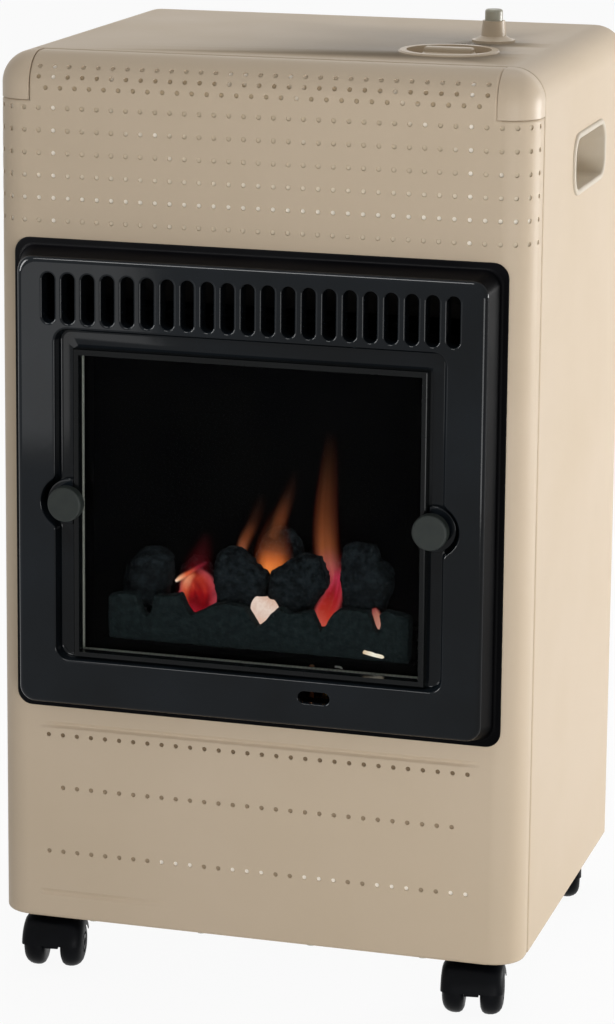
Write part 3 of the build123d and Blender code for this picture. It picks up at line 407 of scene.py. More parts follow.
def smoothEdges(piece, degrees=50):
    mesh = piece.data
    shadeSmooth(mesh)
    mesh.set_sharp_from_angle(angle=math.radians(degrees))
    flat = piece.modifiers.new("flats", "WEIGHTED_NORMAL")
    flat.keep_sharp = True
    flat.weight = 100


def roundedPath(corners, steps=5):
    # points (a, b, radius); each inner corner becomes an arc of its radius
    path = [tuple(corners[0][:2])]
    for before, corner, after in zip(corners, corners[1:], corners[2:]):
        middle = Vector(corner[:2])
        toBefore = (Vector(before[:2]) - middle).normalized()
        toAfter = (Vector(after[:2]) - middle).normalized()
        half = toBefore.angle(toAfter) / 2
        centre = middle + (toBefore + toAfter).normalized() * corner[2] / math.sin(half)
        start = middle + toBefore * corner[2] / math.tan(half) - centre
        end = middle + toAfter * corner[2] / math.tan(half) - centre
        first = math.atan2(start.y, start.x)
        turn = (math.atan2(end.y, end.x) - first + math.pi) % (2 * math.pi) - math.pi
        for step in range(steps + 1):
            angle = first + turn * step / steps
            path.append((centre.x + corner[2] * math.cos(angle), centre.y + corner[2] * math.sin(angle)))
    path.append(tuple(corners[-1][:2]))
    return path


def arcPoints(x, z, radius, fromDegrees, toDegrees, steps):
    points = []
    for step in range(steps + 1):
        angle = math.radians(fromDegrees + (toDegrees - fromDegrees) * step / steps)
        points.append((x + radius * math.cos(angle), z + radius * math.sin(angle)))
    return points


def withoutRepeats(loop):
    kept = []
    for point in loop:
        if not kept or math.dist(point, kept[-1]) > 1e-4:
            kept.append(point)
    if math.dist(kept[0], kept[-1]) < 1e-4:
        kept.pop()
    return kept


def roundedLoop(halfX, low, high, radius, steps=7, middle=0.0):
    # anticlockwise from the lower right corner
    right, left = middle + halfX - radius, middle - halfX + radius
    loop = arcPoints(right, low + radius, radius, -90, 0, steps)
    loop += arcPoints(right, high - radius, radius, 0, 90, steps)
    loop += arcPoints(left, high - radius, radius, 90, 180, steps)
    loop += arcPoints(left, low + radius, radius, 180, 270, steps)
    return withoutRepeats(loop)


def newShape():
    return {"points": [], "faces": []}


def addLoop(points, more):
    # gives back the numbers of the points it adds
    start = len(points)
    points += more
    return list(range(start, len(points)))


def onFlat(spots):
    # points of a blank's flat: no sink and no tilt
    return [(u, v, 0.0, 0.0, 0.0) for u, v in spots]


def closedPairs(loop):
    return zip(loop, loop[1:] + loop[:1])


def turned(face, by=0):
    return tuple(index + by for index in reversed(face))


def addRing(shape, loop, proud):
    return addLoop(shape["points"], [(x, z, proud) for x, z in loop])


def bridgeRings(shape, outer, inner):
    for (a, b), (c, d) in zip(closedPairs(outer), closedPairs(inner)):
        shape["faces"].append((a, b, d, c))


def joinRings(shape, start, size, closed=False):
    # walls between the rings added since start, then a cap at both ends unless they close on themselves
    rings = [list(range(first, first + size)) for first in range(start, len(shape["points"]), size)]
    for here, there in zip(rings, rings[1:] + rings[:1] if closed else rings[1:]):
        bridgeRings(shape, here, there)
    if not closed:
        shape["faces"] += [turned(rings[0]), tuple(rings[-1])]


def gridFaces(start, columns, rows):
    corners = [start + row * (columns + 1) + column for row in range(rows) for column in range(columns)]
    return [(corner, corner + 1, corner + columns + 2, corner + columns + 1) for corner in corners]


def addWall(shape, profile, makeLoop):
    # rings along a profile of (growth, proud); gives back the first and last ring
    rings = [addRing(shape, makeLoop(grow), proud) for grow, proud in profile]
    for outer, inner in zip(rings, rings[1:]):
        bridgeRings(shape, outer, inner)
    return rings[0], rings[-1]


def insideLoop(x, z, loop):
    inside = False
    for (x1, z1), (x2, z2) in closedPairs(loop):
        if (z1 > z) != (z2 > z) and x < (x2 - x1) * (z - z1) / (z2 - z1) + x1:
            inside = not inside
    return inside


def triangulate(places, loops, lines, isHole):
    edges = [pair for loop in loops for pair in closedPairs(loop)]
    edges += [pair for line in lines for pair in zip(line, line[1:])]
    spots, _, faces, source, _, _ = delaunay_2d_cdt([Vector(p) for p in places], edges, [], 0, 1e-6, True)
    triangles = []
    for face in faces:
        middle = (spots[face[0]] + spots[face[1]] + spots[face[2]]) / 3
        corners = [source[index][0] for index in face]
        if not isHole(middle, corners):
            triangles.append(tuple(corners))
    return triangles


def punched(holeLoops, beyond=lambda middle: False):
    # tells whether a triangle lies in one of the holes or beyond the sheet
    owner = {index: count for count, loop in enumerate(holeLoops) for index in loop}

    def isHole(middle, corners):
        owners = {owner.get(corner) for corner in corners}
        return len(owners) == 1 and None not in owners or beyond(middle)

    return isHole


def bendSheet(points, triangles, rims, bend):
    # both skins of a sheet from its flat blank, and the walls along its rims; the skins' faces come first
    count = len(points)
    bent = [bend(*point) for point in points]
    bent += [(place, -normal) for place, normal in (bend(u, v, innerSink(sink)) for u, v, sink, *_ in points)]
    faces = triangles + [turned(triangle, count) for triangle in triangles]
    faces += [(a, a + count, b + count, b) for a, b in rims]
    return [place for place, _ in bent], [normal for _, normal in bent], faces


def setSkinNormals(piece, normals, skinFaces):
    # the skins take their bent sheet's own normals, all other faces are flat
    mesh = piece.data
    shadeSmooth(mesh)
    loopNormals = []
    for polygon in mesh.polygons:
        if polygon.index < skinFaces:
            loopNormals += [normals[index] for index in polygon.vertices]
        else:
            loopNormals += [polygon.normal.copy()] * len(polygon.vertices)
    mesh.normals_split_custom_set(loopNormals)


def fillFlat(shape, outer, holes):
    rings = [outer, *holes]
    order = [index for ring in rings for index in ring]
    places = [shape["points"][index][:2] for index in order]
    number = {index: place for place, index in enumerate(order)}
    loops = [[number[index] for index in ring] for ring in rings]
    outlines = [[places[index] for index in loop] for loop in loops]
    ringOf = [count for count, ring in enumerate(rings) for _ in ring]

    def isHole(middle, corners):
        touched = {ringOf[corner] for corner in corners}
        if len(touched) > 1:
            return False
        ring = touched.pop()
        inside = insideLoop(middle.x, middle.y, outlines[ring])
        return not inside if ring == 0 else inside

    for corners in triangulate(places, loops, [], isHole):
        shape["faces"].append(tuple(order[corner] for corner in corners))


# ---- front cover: one pressing with its holes punched before it was bent

coverForm = {
    "edgeRadius": 25.0, "sheet": 1.2, "capWidth": 29.0, "capHeight": 36.0,
    "edge": (2.4, 1.6), "seamGap": 0.6,  # width and drop of the rolled-in edge
    "opening": (185.0, 185.0, 539.0, 12.0), "holeSize": 3.6, "holeRim": 0.35, "holeSlope": 1.4, "pitch": 11.7,
    "flatRows": {"top": 649.5, "pitch": 17.4, "count": 6, "columns": 19},
    "rollRows": {"start": -1.0, "pitch": 8.5, "count": 3, "columns": 15},
    "lowerRows": ((151.4, 15), (108.2, 14), (55.1, 15)),
    # height, start, full to, gone at, depth
    "beads": ((159.6, -178.6, 176.0, 180.0, 2.3), (20.5, -178.6, -120.0, -61.0, 1.5)),
    "beadHalf": 3.3, "beadStops": 24, "beadRise": 3,
    "arcSteps": 10, "holeSteps": 12, "gridStep": 8.7,
    "clear": {"edge": 2, "hole": 3.4, "bead": 1.5},  # kept free of grid points
    "lip": (187.0, 0.8, 12.0, 0.02),  # half width, from, to and underside
}
flatHalf = halfWidth - coverForm["edgeRadius"]
rollStart = casingHeight - coverForm["edgeRadius"]
quarterArc = coverForm["edgeRadius"] * math.pi / 2
sideReach = flatHalf + quarterArc + seamDeep - coverForm["edgeRadius"] - coverForm["seamGap"]
topReach = rollStart + quarterArc + seamDeep - coverForm["edgeRadius"] - coverForm["seamGap"]
capInner = halfWidth - coverForm["capWidth"]
capBottom = casingHeight - coverForm["capHeight"]


def rolled(distance, flatEnd):
    # a distance along the flat blank gives the place along, the depth and the turn after bending
    radius = coverForm["edgeRadius"]
    if distance <= flatEnd:
        return distance, 0.0, 0.0
    turn = min((distance - flatEnd) / radius, math.pi / 2)
    past = max(distance - flatEnd - quarterArc, 0.0)
    return flatEnd + radius * math.sin(turn), radius * (1 - math.cos(turn)) + past, turn


def bentPoint(u, v, sink, tiltU=0.0, tiltV=0.0):
    side = 1 if u >= 0 else -1
    x, deepX, turnX = rolled(abs(u), flatHalf)
    high, deepZ, turnZ = (v, 0.0, 0.0) if turnX else rolled(v, rollStart)
    out = Vector((side * math.sin(turnX), -math.cos(turnX) * math.cos(turnZ), math.sin(turnZ)))
    along = Vector((math.cos(turnX), side * math.sin(turnX), 0))
    up = Vector((0, math.sin(turnZ), math.cos(turnZ)))
    place = at(side * x, deepX + deepZ, high) - out * sink * mm
    return place, (out + along * tiltU + up * tiltV).normalized()


def coverHoles():
    form, pitch = coverForm, coverForm["pitch"]
    rows = form["flatRows"]
    holes = [(column * pitch, rows["top"] - row * rows["pitch"])
             for row in range(rows["count"]) for column in range(-rows["columns"], rows["columns"] + 1)]
    rows = form["rollRows"]
    for row in range(rows["count"]):
        shift, last = (0.5, rows["columns"] - 1) if row == 0 else (0.0, rows["columns"])
        height = rollStart + rows["start"] + row * rows["pitch"]
        holes += [((column + shift) * pitch, height) for column in range(-rows["columns"], last + 1)]
    for height, count in form["lowerRows"]:
        holes += [((column + 0.5) * pitch, height) for column in range(-count, count)]
    return holes


def roundedEdge(width, drop):
    # inset, sink and slope of the rings that roll a sheet's edge inwards
    rings = []
    for turn in (80, 62, 42, 20, 0):
        across, down = math.sin(math.radians(turn)), math.cos(math.radians(turn))
        rings.append((width * (1 - across), drop * (1 - down), drop / width * across / down))
    rings[0] = (0.0, *rings[0][1:])
    return rings


def innerSink(sink):
    return max(coverForm["sheet"], sink + coverForm["sheet"] / 2)


def coverOutline(inset):
    u, capU, top, capV = (value - inset for value in (sideReach, capInner, topReach, capBottom))
    return [(-u, inset), (u, inset), (u, capV), (capU, capV), (capU, top), (-capU, top), (-capU, capV), (-u, capV)]


def buildFrontCover():
    form = coverForm
    holes = coverHoles()
    arc = [quarterArc * step / form["arcSteps"] for step in range(form["arcSteps"] + 1)]
    across = sorted({round(side * (flatHalf + step), 4) for side in (-1, 1) for step in arc}
                    | {round(form["pitch"] * (count + 0.5), 4) for count in range(-16, 16)})
    upward = sorted({rollStart + step for step in arc} | {form["gridStep"] * count for count in range(1, 75)})
    points = []  # u, v, sink of the outer skin, tilt of its normal
    loops, lines = [], []

    def sampled(corners):
        samples = []
        for (u1, v1), (u2, v2) in closedPairs(corners):
            out = Vector((v2 - v1, u1 - u2)).normalized()
            stops = across if abs(v2 - v1) < 1e-6 else upward
            low, high = (min(u1, u2), max(u1, u2)) if stops is across else (min(v1, v2), max(v1, v2))
            inner = [stop for stop in stops if low + 1 < stop < high - 1]
            if (u2 - u1) + (v2 - v1) < 0:
                inner.reverse()
            samples.append(((u1, v1), out))
            samples += [((stop, v1) if stops is across else (u1, stop), out) for stop in inner]
        return samples

    for inset, sink, slope in roundedEdge(*form["edge"]):
        loops.append(addLoop(points, [(*place, sink, out.x * slope, out.y * slope)
                                      for place, out in sampled(coverOutline(inset))]))
    outerLoop = loops[0]

    half, low, high, corner = form["opening"]
    openingLoop = addLoop(points, onFlat(roundedLoop(half, low, high, corner)))
    loops.append(openingLoop)

    ways = [2 * math.pi * step / form["holeSteps"] for step in range(form["holeSteps"])]
    holeLoops = []
    radius, rim = form["holeSize"] / 2, form["holeRim"]
    for u, v in holes:
        for size, sink, slope in ((radius + rim, 0.0, 0.0), (radius, rim, form["holeSlope"])):
            loops.append(addLoop(points, [(u + size * du, v + size * dv, sink, -slope * du, -slope * dv)
                                          for du, dv in ((math.cos(way), math.sin(way)) for way in ways)]))
        holeLoops.append(loops[-1])

    for height, begin, full, gone, depth in form["beads"]:
        stops = [begin + (gone - begin) * step / form["beadStops"] for step in range(form["beadStops"] + 1)]
        for share in (-1, -0.6, -0.3, 0, 0.3, 0.6, 1):
            bead = []
            for u in stops:
                fade = min(1.0, (gone - u) / max(gone - full, 1e-6), (u - begin) / form["beadRise"])
                deep = depth * max(fade, 0.0)
                wave = math.pi * share
                slope = -deep * 0.5 * math.sin(wave) * math.pi / form["beadHalf"]
                bead.append((u, height + share * form["beadHalf"], deep * (0.5 + 0.5 * math.cos(wave)), 0.0, slope))
            lines.append(addLoop(points, bead))

    clear = form["clear"]
    edge = clear["edge"]

    def blocked(u, v):
        inNotch = abs(u) > capInner - edge and v > capBottom - edge
        inOpening = abs(u) < half + edge and low - edge < v < high + edge
        nearBead = any(abs(v - bead[0]) < form["beadHalf"] + clear["bead"] for bead in form["beads"])
        nearHole = any(abs(u - hu) < clear["hole"] and abs(v - hv) < clear["hole"] for hu, hv in holes)
        return inNotch or inOpening or nearBead or nearHole

    points += onFlat((u, v) for u in across for v in upward
                     if edge < v < topReach - edge and abs(u) < sideReach - edge and not blocked(u, v))

    isHole = punched([openingLoop, *holeLoops], lambda middle: abs(middle.x) > capInner and middle.y > capBottom)
    triangles = triangulate([point[:2] for point in points], loops, lines, isHole)
    rims = [*closedPairs(outerLoop), *((b, a) for loop in [openingLoop, *holeLoops] for a, b in closedPairs(loop))]
    places, normals, faces = bendSheet(points, triangles, rims, bentPoint)

    # the lip that stiffens the bottom edge
    halfLip, lipStart, lipEnd, lipLow = form["lip"]
    start = len(places)
    for height in (lipLow, form["sheet"]):
        for x, deep in ((-halfLip, lipStart), (halfLip, lipStart), (halfLip, lipEnd), (-halfLip, lipEnd)):
            places.append(at(x, deep, height))
    faces += [tuple(start + index for index in face)
              for face in ((3, 2, 1, 0), (4, 5, 6, 7), (0, 1, 5, 4), (1, 2, 6, 5), (2, 3, 7, 6), (3, 0, 4, 7))]

    cover = makePiece("front_cover_pressed", places, faces, "casing_enamel", nodes=("front_cover",))
    setSkinNormals(cover, normals, 2 * len(triangles))
    print("front cover:", len(holes), "holes,", len(faces), "faces")


buildFrontCover()


# pale plates close behind the air holes, where the case is dark inside: they carry painted light that shows the holes
# pale
backingForm = {
    "gap": 0.15, "sheet": 0.4, "step": 8.0, "seamOverlap": 9.0, "seamLow": 3.0, "seamSink": 2.5,
    "upper": ((-226.0, 226.0, 546.0, 653.0), (-181.0, 181.0, 653.0, 690.0)),
    "lower": ((-182.0, 182.0, 46.0, 155.5),),
}


def holeLightPaint(name, look):
    # painted light seen through the holes: a tone that changes with height, with pale patches where the holes are
    # painted bright
    material, add = newMaterial(name)
    place = add("TexCoord").outputs["Object"]
    high = add("SeparateXYZ", {"Vector": place}).outputs["Z"]
    level = add("MapRange", {"From Min": at(0, 0, look["from"]).z, "From Max": at(0, 0, look["to"]).z,
                             "Value": high})
    tone = setRamp(add("ValToRGB", {"Fac": level}),
                   [(stop, linearColour(code)) for stop, code in look["tones"].items()])
    patch = add("TexNoise", {"Scale": perMetre(look["patch"]), "Detail": 1.0, "Vector": place})
    paleGlint = add("MapRange", {"From Min": look["glintFrom"], "From Max": look["glintTo"], "Value": patch})
    across = add("SeparateXYZ", {"Vector": place}).outputs["X"]
    for band in look["bands"]:
        # stripes of painted glints, repeating across the sheet below a given height
        wave = add("Math", {0: add("Math", {0: across, 1: band["shift"] * mm}, operation="ADD"),
                            1: band["half"] * mm}, operation="PINGPONG")
        inside = add("Math", {0: wave, 1: band["wide"] * mm}, operation="LESS_THAN")
        near = add("Math", {0: across, 1: band["middle"] * mm, 2: band["reach"] * mm}, operation="COMPARE")
        below = add("Math", {0: high, 1: at(0, 0, band["below"]).z}, operation="LESS_THAN")
        stripe = add("Math", {0: inside, 1: near}, operation="MULTIPLY")
        stripe = add("Math", {0: stripe, 1: below}, operation="MULTIPLY")
        paleGlint = add("Math", {0: paleGlint, 1: stripe}, operation="MAXIMUM")
    colour = add("Mix", {0: paleGlint, 6: tone, 7: linearColour(look["pale"])}, data_type="RGBA").outputs[2]
    shader = add("BsdfPrincipled", {"Roughness": 0.7, "Specular IOR Level": 0.1, "Base Color": colour})
    return endMaterial(material, shader)


# painted light and shade of the upper holes, row by row, and their pale painted glints
upperHoleLight = holeLightPaint("hole_plate_painted_light_upper", {
    "from": 546, "to": 690, "patch": 24, "glintFrom": 0.6, "glintTo": 0.75, "pale": "#fff8ec",
    "bands": [{"half": 163.8, "shift": 163.8, "wide": 3.0, "middle": 0.0, "reach": 170.0, "below": 690.0}],
    "tones": {0: "#ab987e", 0.13: "#dccfba", 0.24: "#f6efe2", 0.36: "#e6dac6", 0.5: "#d2c3ac", 0.72: "#cbbca4",
              0.82: "#b9a78c", 0.9: "#b09c80", 0.95: "#d8cab4", 1: "#f2e9da"}})
# painted light and shade of the lower holes, darker towards the top, and stripes of pale painted glints in the lowest
# row
lowerHoleLight = holeLightPaint("hole_plate_painted_light_lower", {
    "from": 46, "to": 166, "patch": 26, "glintFrom": 0.9, "glintTo": 1.0, "pale": "#fff8ec",
    "bands": [{"half": 29.25, "shift": 64.35, "wide": 17.0, "middle": 60.0, "reach": 145.0, "below": 66.0}],
    "tones": {0: "#a3927b", 0.45: "#a3927b", 0.55: "#9c8a73", 1: "#77654f"}})


def buildBackingPlate(name, patches, material=None, sink=coverForm["sheet"] + backingForm["gap"]):
    points, faces = [], []
    for left, right, low, high in patches:
        columns = round((right - left) / backingForm["step"])
        rows = max(round((high - low) / backingForm["step"]), 2)
        start = len(points)
        for depth in (sink, sink + backingForm["sheet"]):
            for row in range(rows + 1):
                for column in range(columns + 1):
                    u = left + (right - left) * column / columns
                    points.append(bentPoint(u, low + (high - low) * row / rows, depth)[0])
        layer = (rows + 1) * (columns + 1)
        for face in gridFaces(start, columns, rows):
            faces += [face, turned(face, layer)]
        bottomRow = list(range(start, start + columns + 1))
        topRow = [index + rows * (columns + 1) for index in bottomRow]
        leftColumn = [start + row * (columns + 1) for row in range(rows + 1)]
        rightColumn = [index + columns for index in leftColumn]
        rim = bottomRow + rightColumn[1:] + topRow[-2::-1] + leftColumn[-2:0:-1]
        faces += [(b, a, a + layer, b + layer) for a, b in closedPairs(rim)]
    plate = makePiece(name, points, faces, "casing_enamel", material=material)
    smoothEdges(plate)


# the two plates behind the holes carry painted light; the seam flange below is plain casing enamel
buildBackingPlate("upper_hole_painted_light_plate", backingForm["upper"], upperHoleLight)
buildBackingPlate("lower_hole_painted_light_plate", backingForm["lower"], lowerHoleLight)
# the flange that the cover's edges lie on closes the seam from inside
overlap, seamLow = backingForm["seamOverlap"], backingForm["seamLow"]
buildBackingPlate("seam_flange", (
    (-sideReach - overlap, -sideReach + overlap, seamLow, capBottom),
    (sideReach - overlap, sideReach + overlap, seamLow, capBottom),
    (-capInner, capInner, topReach - overlap, topReach + overlap)), sink=backingForm["seamSink"])


# ---- casing wrap: left side, top and right side in one sheet

wrapForm = {
    "frontEdge": (1.8, 1.2), "edge": (1.2, 0.8), "start": seamDeep + 2.6, "end": 340.0,
    "flange": 14.0, "flangeLow": 20.0, "flangeInset": 0.6, "steps": 12, "clear": (6, 3),
    "holes": ((119.0, 112.0, 34.3), (136.0, 190.0, 10.6)),  # dial and igniter: from the middle, deep, radius
}
handleForm = {
    "middle": (201.0, 602.0), "half": (56.5, 20.0), "corner": 14.0, "hole": 2.3, "sheet": 1.4,
    # growth, proud, radius
    "rim": [(4.6, -0.3, 0), (4.6, 2.1, 2.0), (0, 2.1, 1.7), (-1.6, -27.0, 4.0), (-9, -27.0, 0)],
}
wrapReach = flatHalf + quarterArc + rollStart


def wrapPoint(u, deep, sink, tiltU=0.0, tiltDeep=0.0):
    side = 1 if u >= 0 else -1
    x, drop, turn = rolled(abs(u), flatHalf)
    out = Vector((side * math.sin(turn), 0, math.cos(turn)))
    along = Vector((math.cos(turn), 0, -side * math.sin(turn)))
    place = at(side * x, deep, casingHeight - drop) - out * sink * mm
    return place, (out + along * tiltU + Vector((0, tiltDeep, 0))).normalized()


def buildCasingWrap():
    form, sheet = wrapForm, coverForm["sheet"]
    arc = [quarterArc * step / coverForm["arcSteps"] for step in range(coverForm["arcSteps"] + 1)]
    across = sorted({round(side * (flatHalf + step), 4) for side in (-1, 1) for step in arc})
    points, loops, lines = [], [], []
    for front, other in zip(roundedEdge(*form["frontEdge"]), roundedEdge(*form["edge"])):
        u, low, high = wrapReach - other[0], form["start"] + front[0], form["end"] - other[0]
        ring = [(stop, low, front[1], 0, -front[2]) for stop in [-u, *across, u]]
        ring += [(stop, high, other[1], 0, other[2]) for stop in [u, *reversed(across), -u]]
        loops.append(addLoop(points, ring))
    outerLoop = loops[0]
    holeLoops = []
    for middle, deep, radius in form["holes"]:
        ring = withoutRepeats(arcPoints(middle, deep, radius, 0, 360, 40))
        holeLoops.append(addLoop(points, onFlat(ring)))
    deepMiddle, highMiddle = handleForm["middle"]
    halfDeep, halfHigh = (half + handleForm["hole"] for half in handleForm["half"])
    ring = roundedLoop(halfDeep, -halfHigh, halfHigh, handleForm["corner"], 5)
    for side in (-1, 1):
        holeLoops.append(addLoop(points, onFlat(
            (side * (wrapReach - highMiddle + v), deepMiddle + u) for u, v in ring)))
    loops += holeLoops
    first = form["start"] + form["clear"][0]
    length = form["end"] - form["start"] - sum(form["clear"])
    for u in across:
        lines.append(addLoop(points, onFlat(
            (u, first + length * step / form["steps"]) for step in range(form["steps"] + 1))))

    triangles = triangulate([point[:2] for point in points], loops, lines, punched(holeLoops))
    rims = [pair for loop in [outerLoop, *holeLoops] for pair in closedPairs(loop)]
    places, normals, faces = bendSheet(points, triangles, rims, wrapPoint)

    # the sheet turns in round the open back
    flange, radius = form["flange"], coverForm["edgeRadius"]

    def flangePath(inset, corner):
        half, high = halfWidth - inset, casingHeight - inset
        path = [(half, form["flangeLow"])] + arcPoints(half - corner, high - corner, corner, 0, 90, 8)
        return path + [(-x, z) for x, z in reversed(path)]

    outerPath = flangePath(form["flangeInset"], radius - form["flangeInset"])
    innerPath = flangePath(flange, radius - flange)
    start, length = len(places), len(outerPath)
    for deep in (form["end"] - sheet, form["end"]):
        places += [at(x, deep, z) for x, z in outerPath + innerPath]
    near, far = start, start + 2 * length
    for index in range(length - 1):
        a, b, c, d = index, index + 1, index + 1 + length, index + length
        faces += [(near + a, near + b, near + c, near + d), (far + d, far + c, far + b, far + a)]
        faces += [(near + b, near + a, far + a, far + b), (near + d, near + c, far + c, far + d)]
    for index, turnBack in ((0, False), (length - 1, True)):
        face = (near + index, near + index + length, far + index + length, far + index)
        faces.append(turned(face) if turnBack else face)

    wrap = makePiece("casing_wrap_folded", places, faces, "casing_enamel", nodes=("casing_wrap",))
    setSkinNormals(wrap, normals, 2 * len(triangles))
    print("casing wrap:", len(faces), "faces")


def buildHandleCup(side, sign):
    form = handleForm
    (deep, high), (halfDeep, halfHigh) = form["middle"], form["half"]
    shape = newShape()
    _, floor = addWall(shape, roundedPath(form["rim"]), lambda grow: roundedLoop(
        halfDeep + grow, high - halfHigh - grow, high + halfHigh + grow, form["corner"] + grow, 6, deep))
    shape["faces"].append(tuple(floor))
    points = [at(sign * (halfWidth + proud), x, z) for x, z, proud in shape["points"]]
    faces = shape["faces"] if sign > 0 else [turned(face) for face in shape["faces"]]
    cup = makePiece(f"handle_cup_{side}_moulded", points, faces, "handle_plastic", nodes=(f"handle_cup_{side}",))
    addSheet(cup, form["sheet"])
    smoothEdges(cup)


buildCasingWrap()
buildHandleCup("left", -1)
buildHandleCup("right", 1)


# ---- castors: two barrel-shaped wheels under one rounded hood

castorForm = {
    "steps": 56, "hoodSteps": 30, "bossSteps": 32, "sharpAngle": 35,
    "wheel": [(6.0, 3.3), (6.0, 12.0), (6.5, 15.6), (7.8, 18.2), (10.0, 19.6), (12.8, 20.0), (15.8, 19.8),
              (18.6, 18.9), (20.9, 17.3), (22.5, 15.0), (23.4, 12.0), (23.7, 8.4), (22.9, 8.0), (22.9, 6.6),
              (23.7, 6.2), (23.8, 3.3)],  # along the axle, radius
    "hoodOuter": [(24.6, 13.5), (24.4, 15.8), (23.7, 18.2), (22.4, 20.2), (20.4, 21.7), (17.6, 22.6), (13.6, 22.9),
                  (0.0, 22.9)],
    "hoodInner": [(23.9, 13.5), (23.6, 15.6), (22.9, 17.6), (21.7, 19.3), (19.8, 20.6), (17.2, 21.3), (13.4, 21.5),
                  (0.0, 21.5)],
    "hoodSweep": (6.0, 150.0), "webHalf": 5.6, "webRadius": 21.0,
    "boss": (9.0, 15.0, 8.0, 24.6),  # radius, back from the axle, from and to above the axle
}


def axleFrame(joint):
    axis = Vector(joint["axis"]).normalized()
    back = Vector((0, 0, 1)).cross(axis)
    centre = Vector(joint["pos_m"])
    return lambda along, away, up: centre + (axis * along + back * away + Vector((0, 0, 1)) * up) * mm


def sweptRings(shape, profile, place, fromDegrees, toDegrees, steps):
    # a closed profile of (along the axle, radius) turned about the axle; angle 0 points forward
    closed = abs(toDegrees - fromDegrees) >= 360
    start = len(shape["points"])
    for step in range(steps if closed else steps + 1):
        angle = math.radians(fromDegrees + (toDegrees - fromDegrees) * step / steps)
        shape["points"] += [place(along, -radius * math.cos(angle), radius * math.sin(angle))
                            for along, radius in profile]
    joinRings(shape, start, len(profile), closed)


def prism(shape, outline, placeAt, near, far):
    start = len(shape["points"])
    for level in (near, far):
        shape["points"] += [placeAt(a, b, level) for a, b in outline]
    joinRings(shape, start, len(outline))


def finishTurned(shape, name, body, node):
    piece = makePiece(name, shape["points"], shape["faces"], "castor_plastic", body=body, nodes=(node,))
    work = bmesh.new()
    work.from_mesh(piece.data)
    bmesh.ops.recalc_face_normals(work, faces=work.faces)
    work.to_mesh(piece.data)
    work.free()
    smoothEdges(piece, castorForm["sharpAngle"])


def buildCastors():
    form = castorForm
    joints = {joint["name"]: joint for joint in frame["joints"]}
    for corner in ("fl", "fr", "rl", "rr"):
        place = axleFrame(joints[f"castor_{corner}_left_roll"])
        for side, sign in (("left", -1), ("right", 1)):
            node = f"castor_{corner}_wheel_{side}"
            shape = newShape()
            profile = [(sign * along, radius) for along, radius in form["wheel"]]
            sweptRings(shape, profile, place, 0, 360, form["steps"])
            finishTurned(shape, node + "_turned", node, node)
        shape = newShape()
        outer, inner = form["hoodOuter"], form["hoodInner"]
        profile = outer + [(-a, r) for a, r in reversed(outer[:-1])]
        profile += [(-a, r) for a, r in inner[:-1]] + list(reversed(inner))
        sweptRings(shape, profile, place, *form["hoodSweep"], form["hoodSteps"])
        web = arcPoints(0, 0, form["webRadius"], 0, 180, form["hoodSteps"])
        prism(shape, web, lambda away, up, along: place(along, away, up), -form["webHalf"], form["webHalf"])
        radius, back, low, high = form["boss"]
        prism(shape, withoutRepeats(arcPoints(0, back, radius, 0, 360, form["bossSteps"])), place, low, high)
        finishTurned(shape, f"castor_{corner}_hood_moulded", f"castor_{corner}", f"castor_{corner}_hood")
    print("castors made")


buildCastors()


# ---- fire frame: enamelled pan with rolled slots, a sunk panel and a bay for each knob

frameForm = {
    "half": 195.0, "low": 175.0, "high": 549.0, "corner": 12.0,
    "wall": [(0, 0.1, 0), (0, 1.2, 0.8), (5.5, 1.2, 2.4), (11, 26, 4.0), (14.5, 26, 0)],  # inset, proud, radius
    "sheet": 1.0, "sharpAngle": 40,
    "shadedEnamel": {"beyond": 170, "under": 20, "over": 15, "proud": 21.0},  # from the middle, low and high edge
    "sunkHalf": 154.0, "sunkLow": 221.5, "sunkHigh": 483.5, "sunkCorner": 10.0,
    "sunkWall": [(1.9, 26, 0), (0, 26, 1.7), (-1.6, 16, 2.3), (-3.9, 16, 0)],  # growth, proud, radius
    "bay": (144.6, 347.0, 21.0), "bayBlend": 6.0,
    "land": {"radius": 18.0, "cut": 141.2, "base": 15.6, "proud": 20.0, "edge": 0.9},
    "window": (135.5, 228.5, 463.5), "panelProud": 16,
    "slots": {"count": 21, "pitch": 15.9, "half": 5.0, "low": 487.5, "high": 526.4},
    "slotWall": [(1.8, 26, 0), (0, 26, 1.6), (-0.5, 15, 0)],
    "sight": {"x": 54.3, "high": 208.7, "halfLength": 12.5, "half": 4.8},
    "sightWall": [(1.3, 26, 0), (0, 26, 1.1), (-0.2, 21, 0)],
}


def sunkLoop(grow):
    form = frameForm
    bayX, bayHigh, bayRadius = form["bay"]
    blend = form["bayBlend"]
    half, low, high = form["sunkHalf"], form["sunkLow"], form["sunkHigh"]
    corner = form["sunkCorner"] + grow
    blendX = half + blend
    rise = math.sqrt((bayRadius + blend) ** 2 - (blendX - bayX) ** 2)
    lean = math.degrees(math.atan2(rise, blendX - bayX))
    right = arcPoints(half + grow - corner, low - grow + corner, corner, -90, 0, 6)
    right += arcPoints(blendX, bayHigh - rise, blend - grow, 180, 180 - lean, 6)
    right += arcPoints(bayX, bayHigh, bayRadius + grow, -lean, lean, 16)
    right += arcPoints(blendX, bayHigh + rise, blend - grow, 180 + lean, 180, 6)
    right += arcPoints(half + grow - corner, high + grow - corner, corner, 0, 90, 6)
    return withoutRepeats(right + [(-x, z) for x, z in reversed(right)])


def landLoop(sign, inset):
    form = frameForm
    bayX, bayHigh, _ = form["bay"]
    land = form["land"]
    radius = land["radius"] - inset
    cut = land["cut"] + inset
    reach = math.degrees(math.acos((cut - bayX) / radius))
    loop = arcPoints(bayX, bayHigh, radius, -reach, reach, 20)
    return loop if sign > 0 else [(-x, z) for x, z in reversed(loop)]


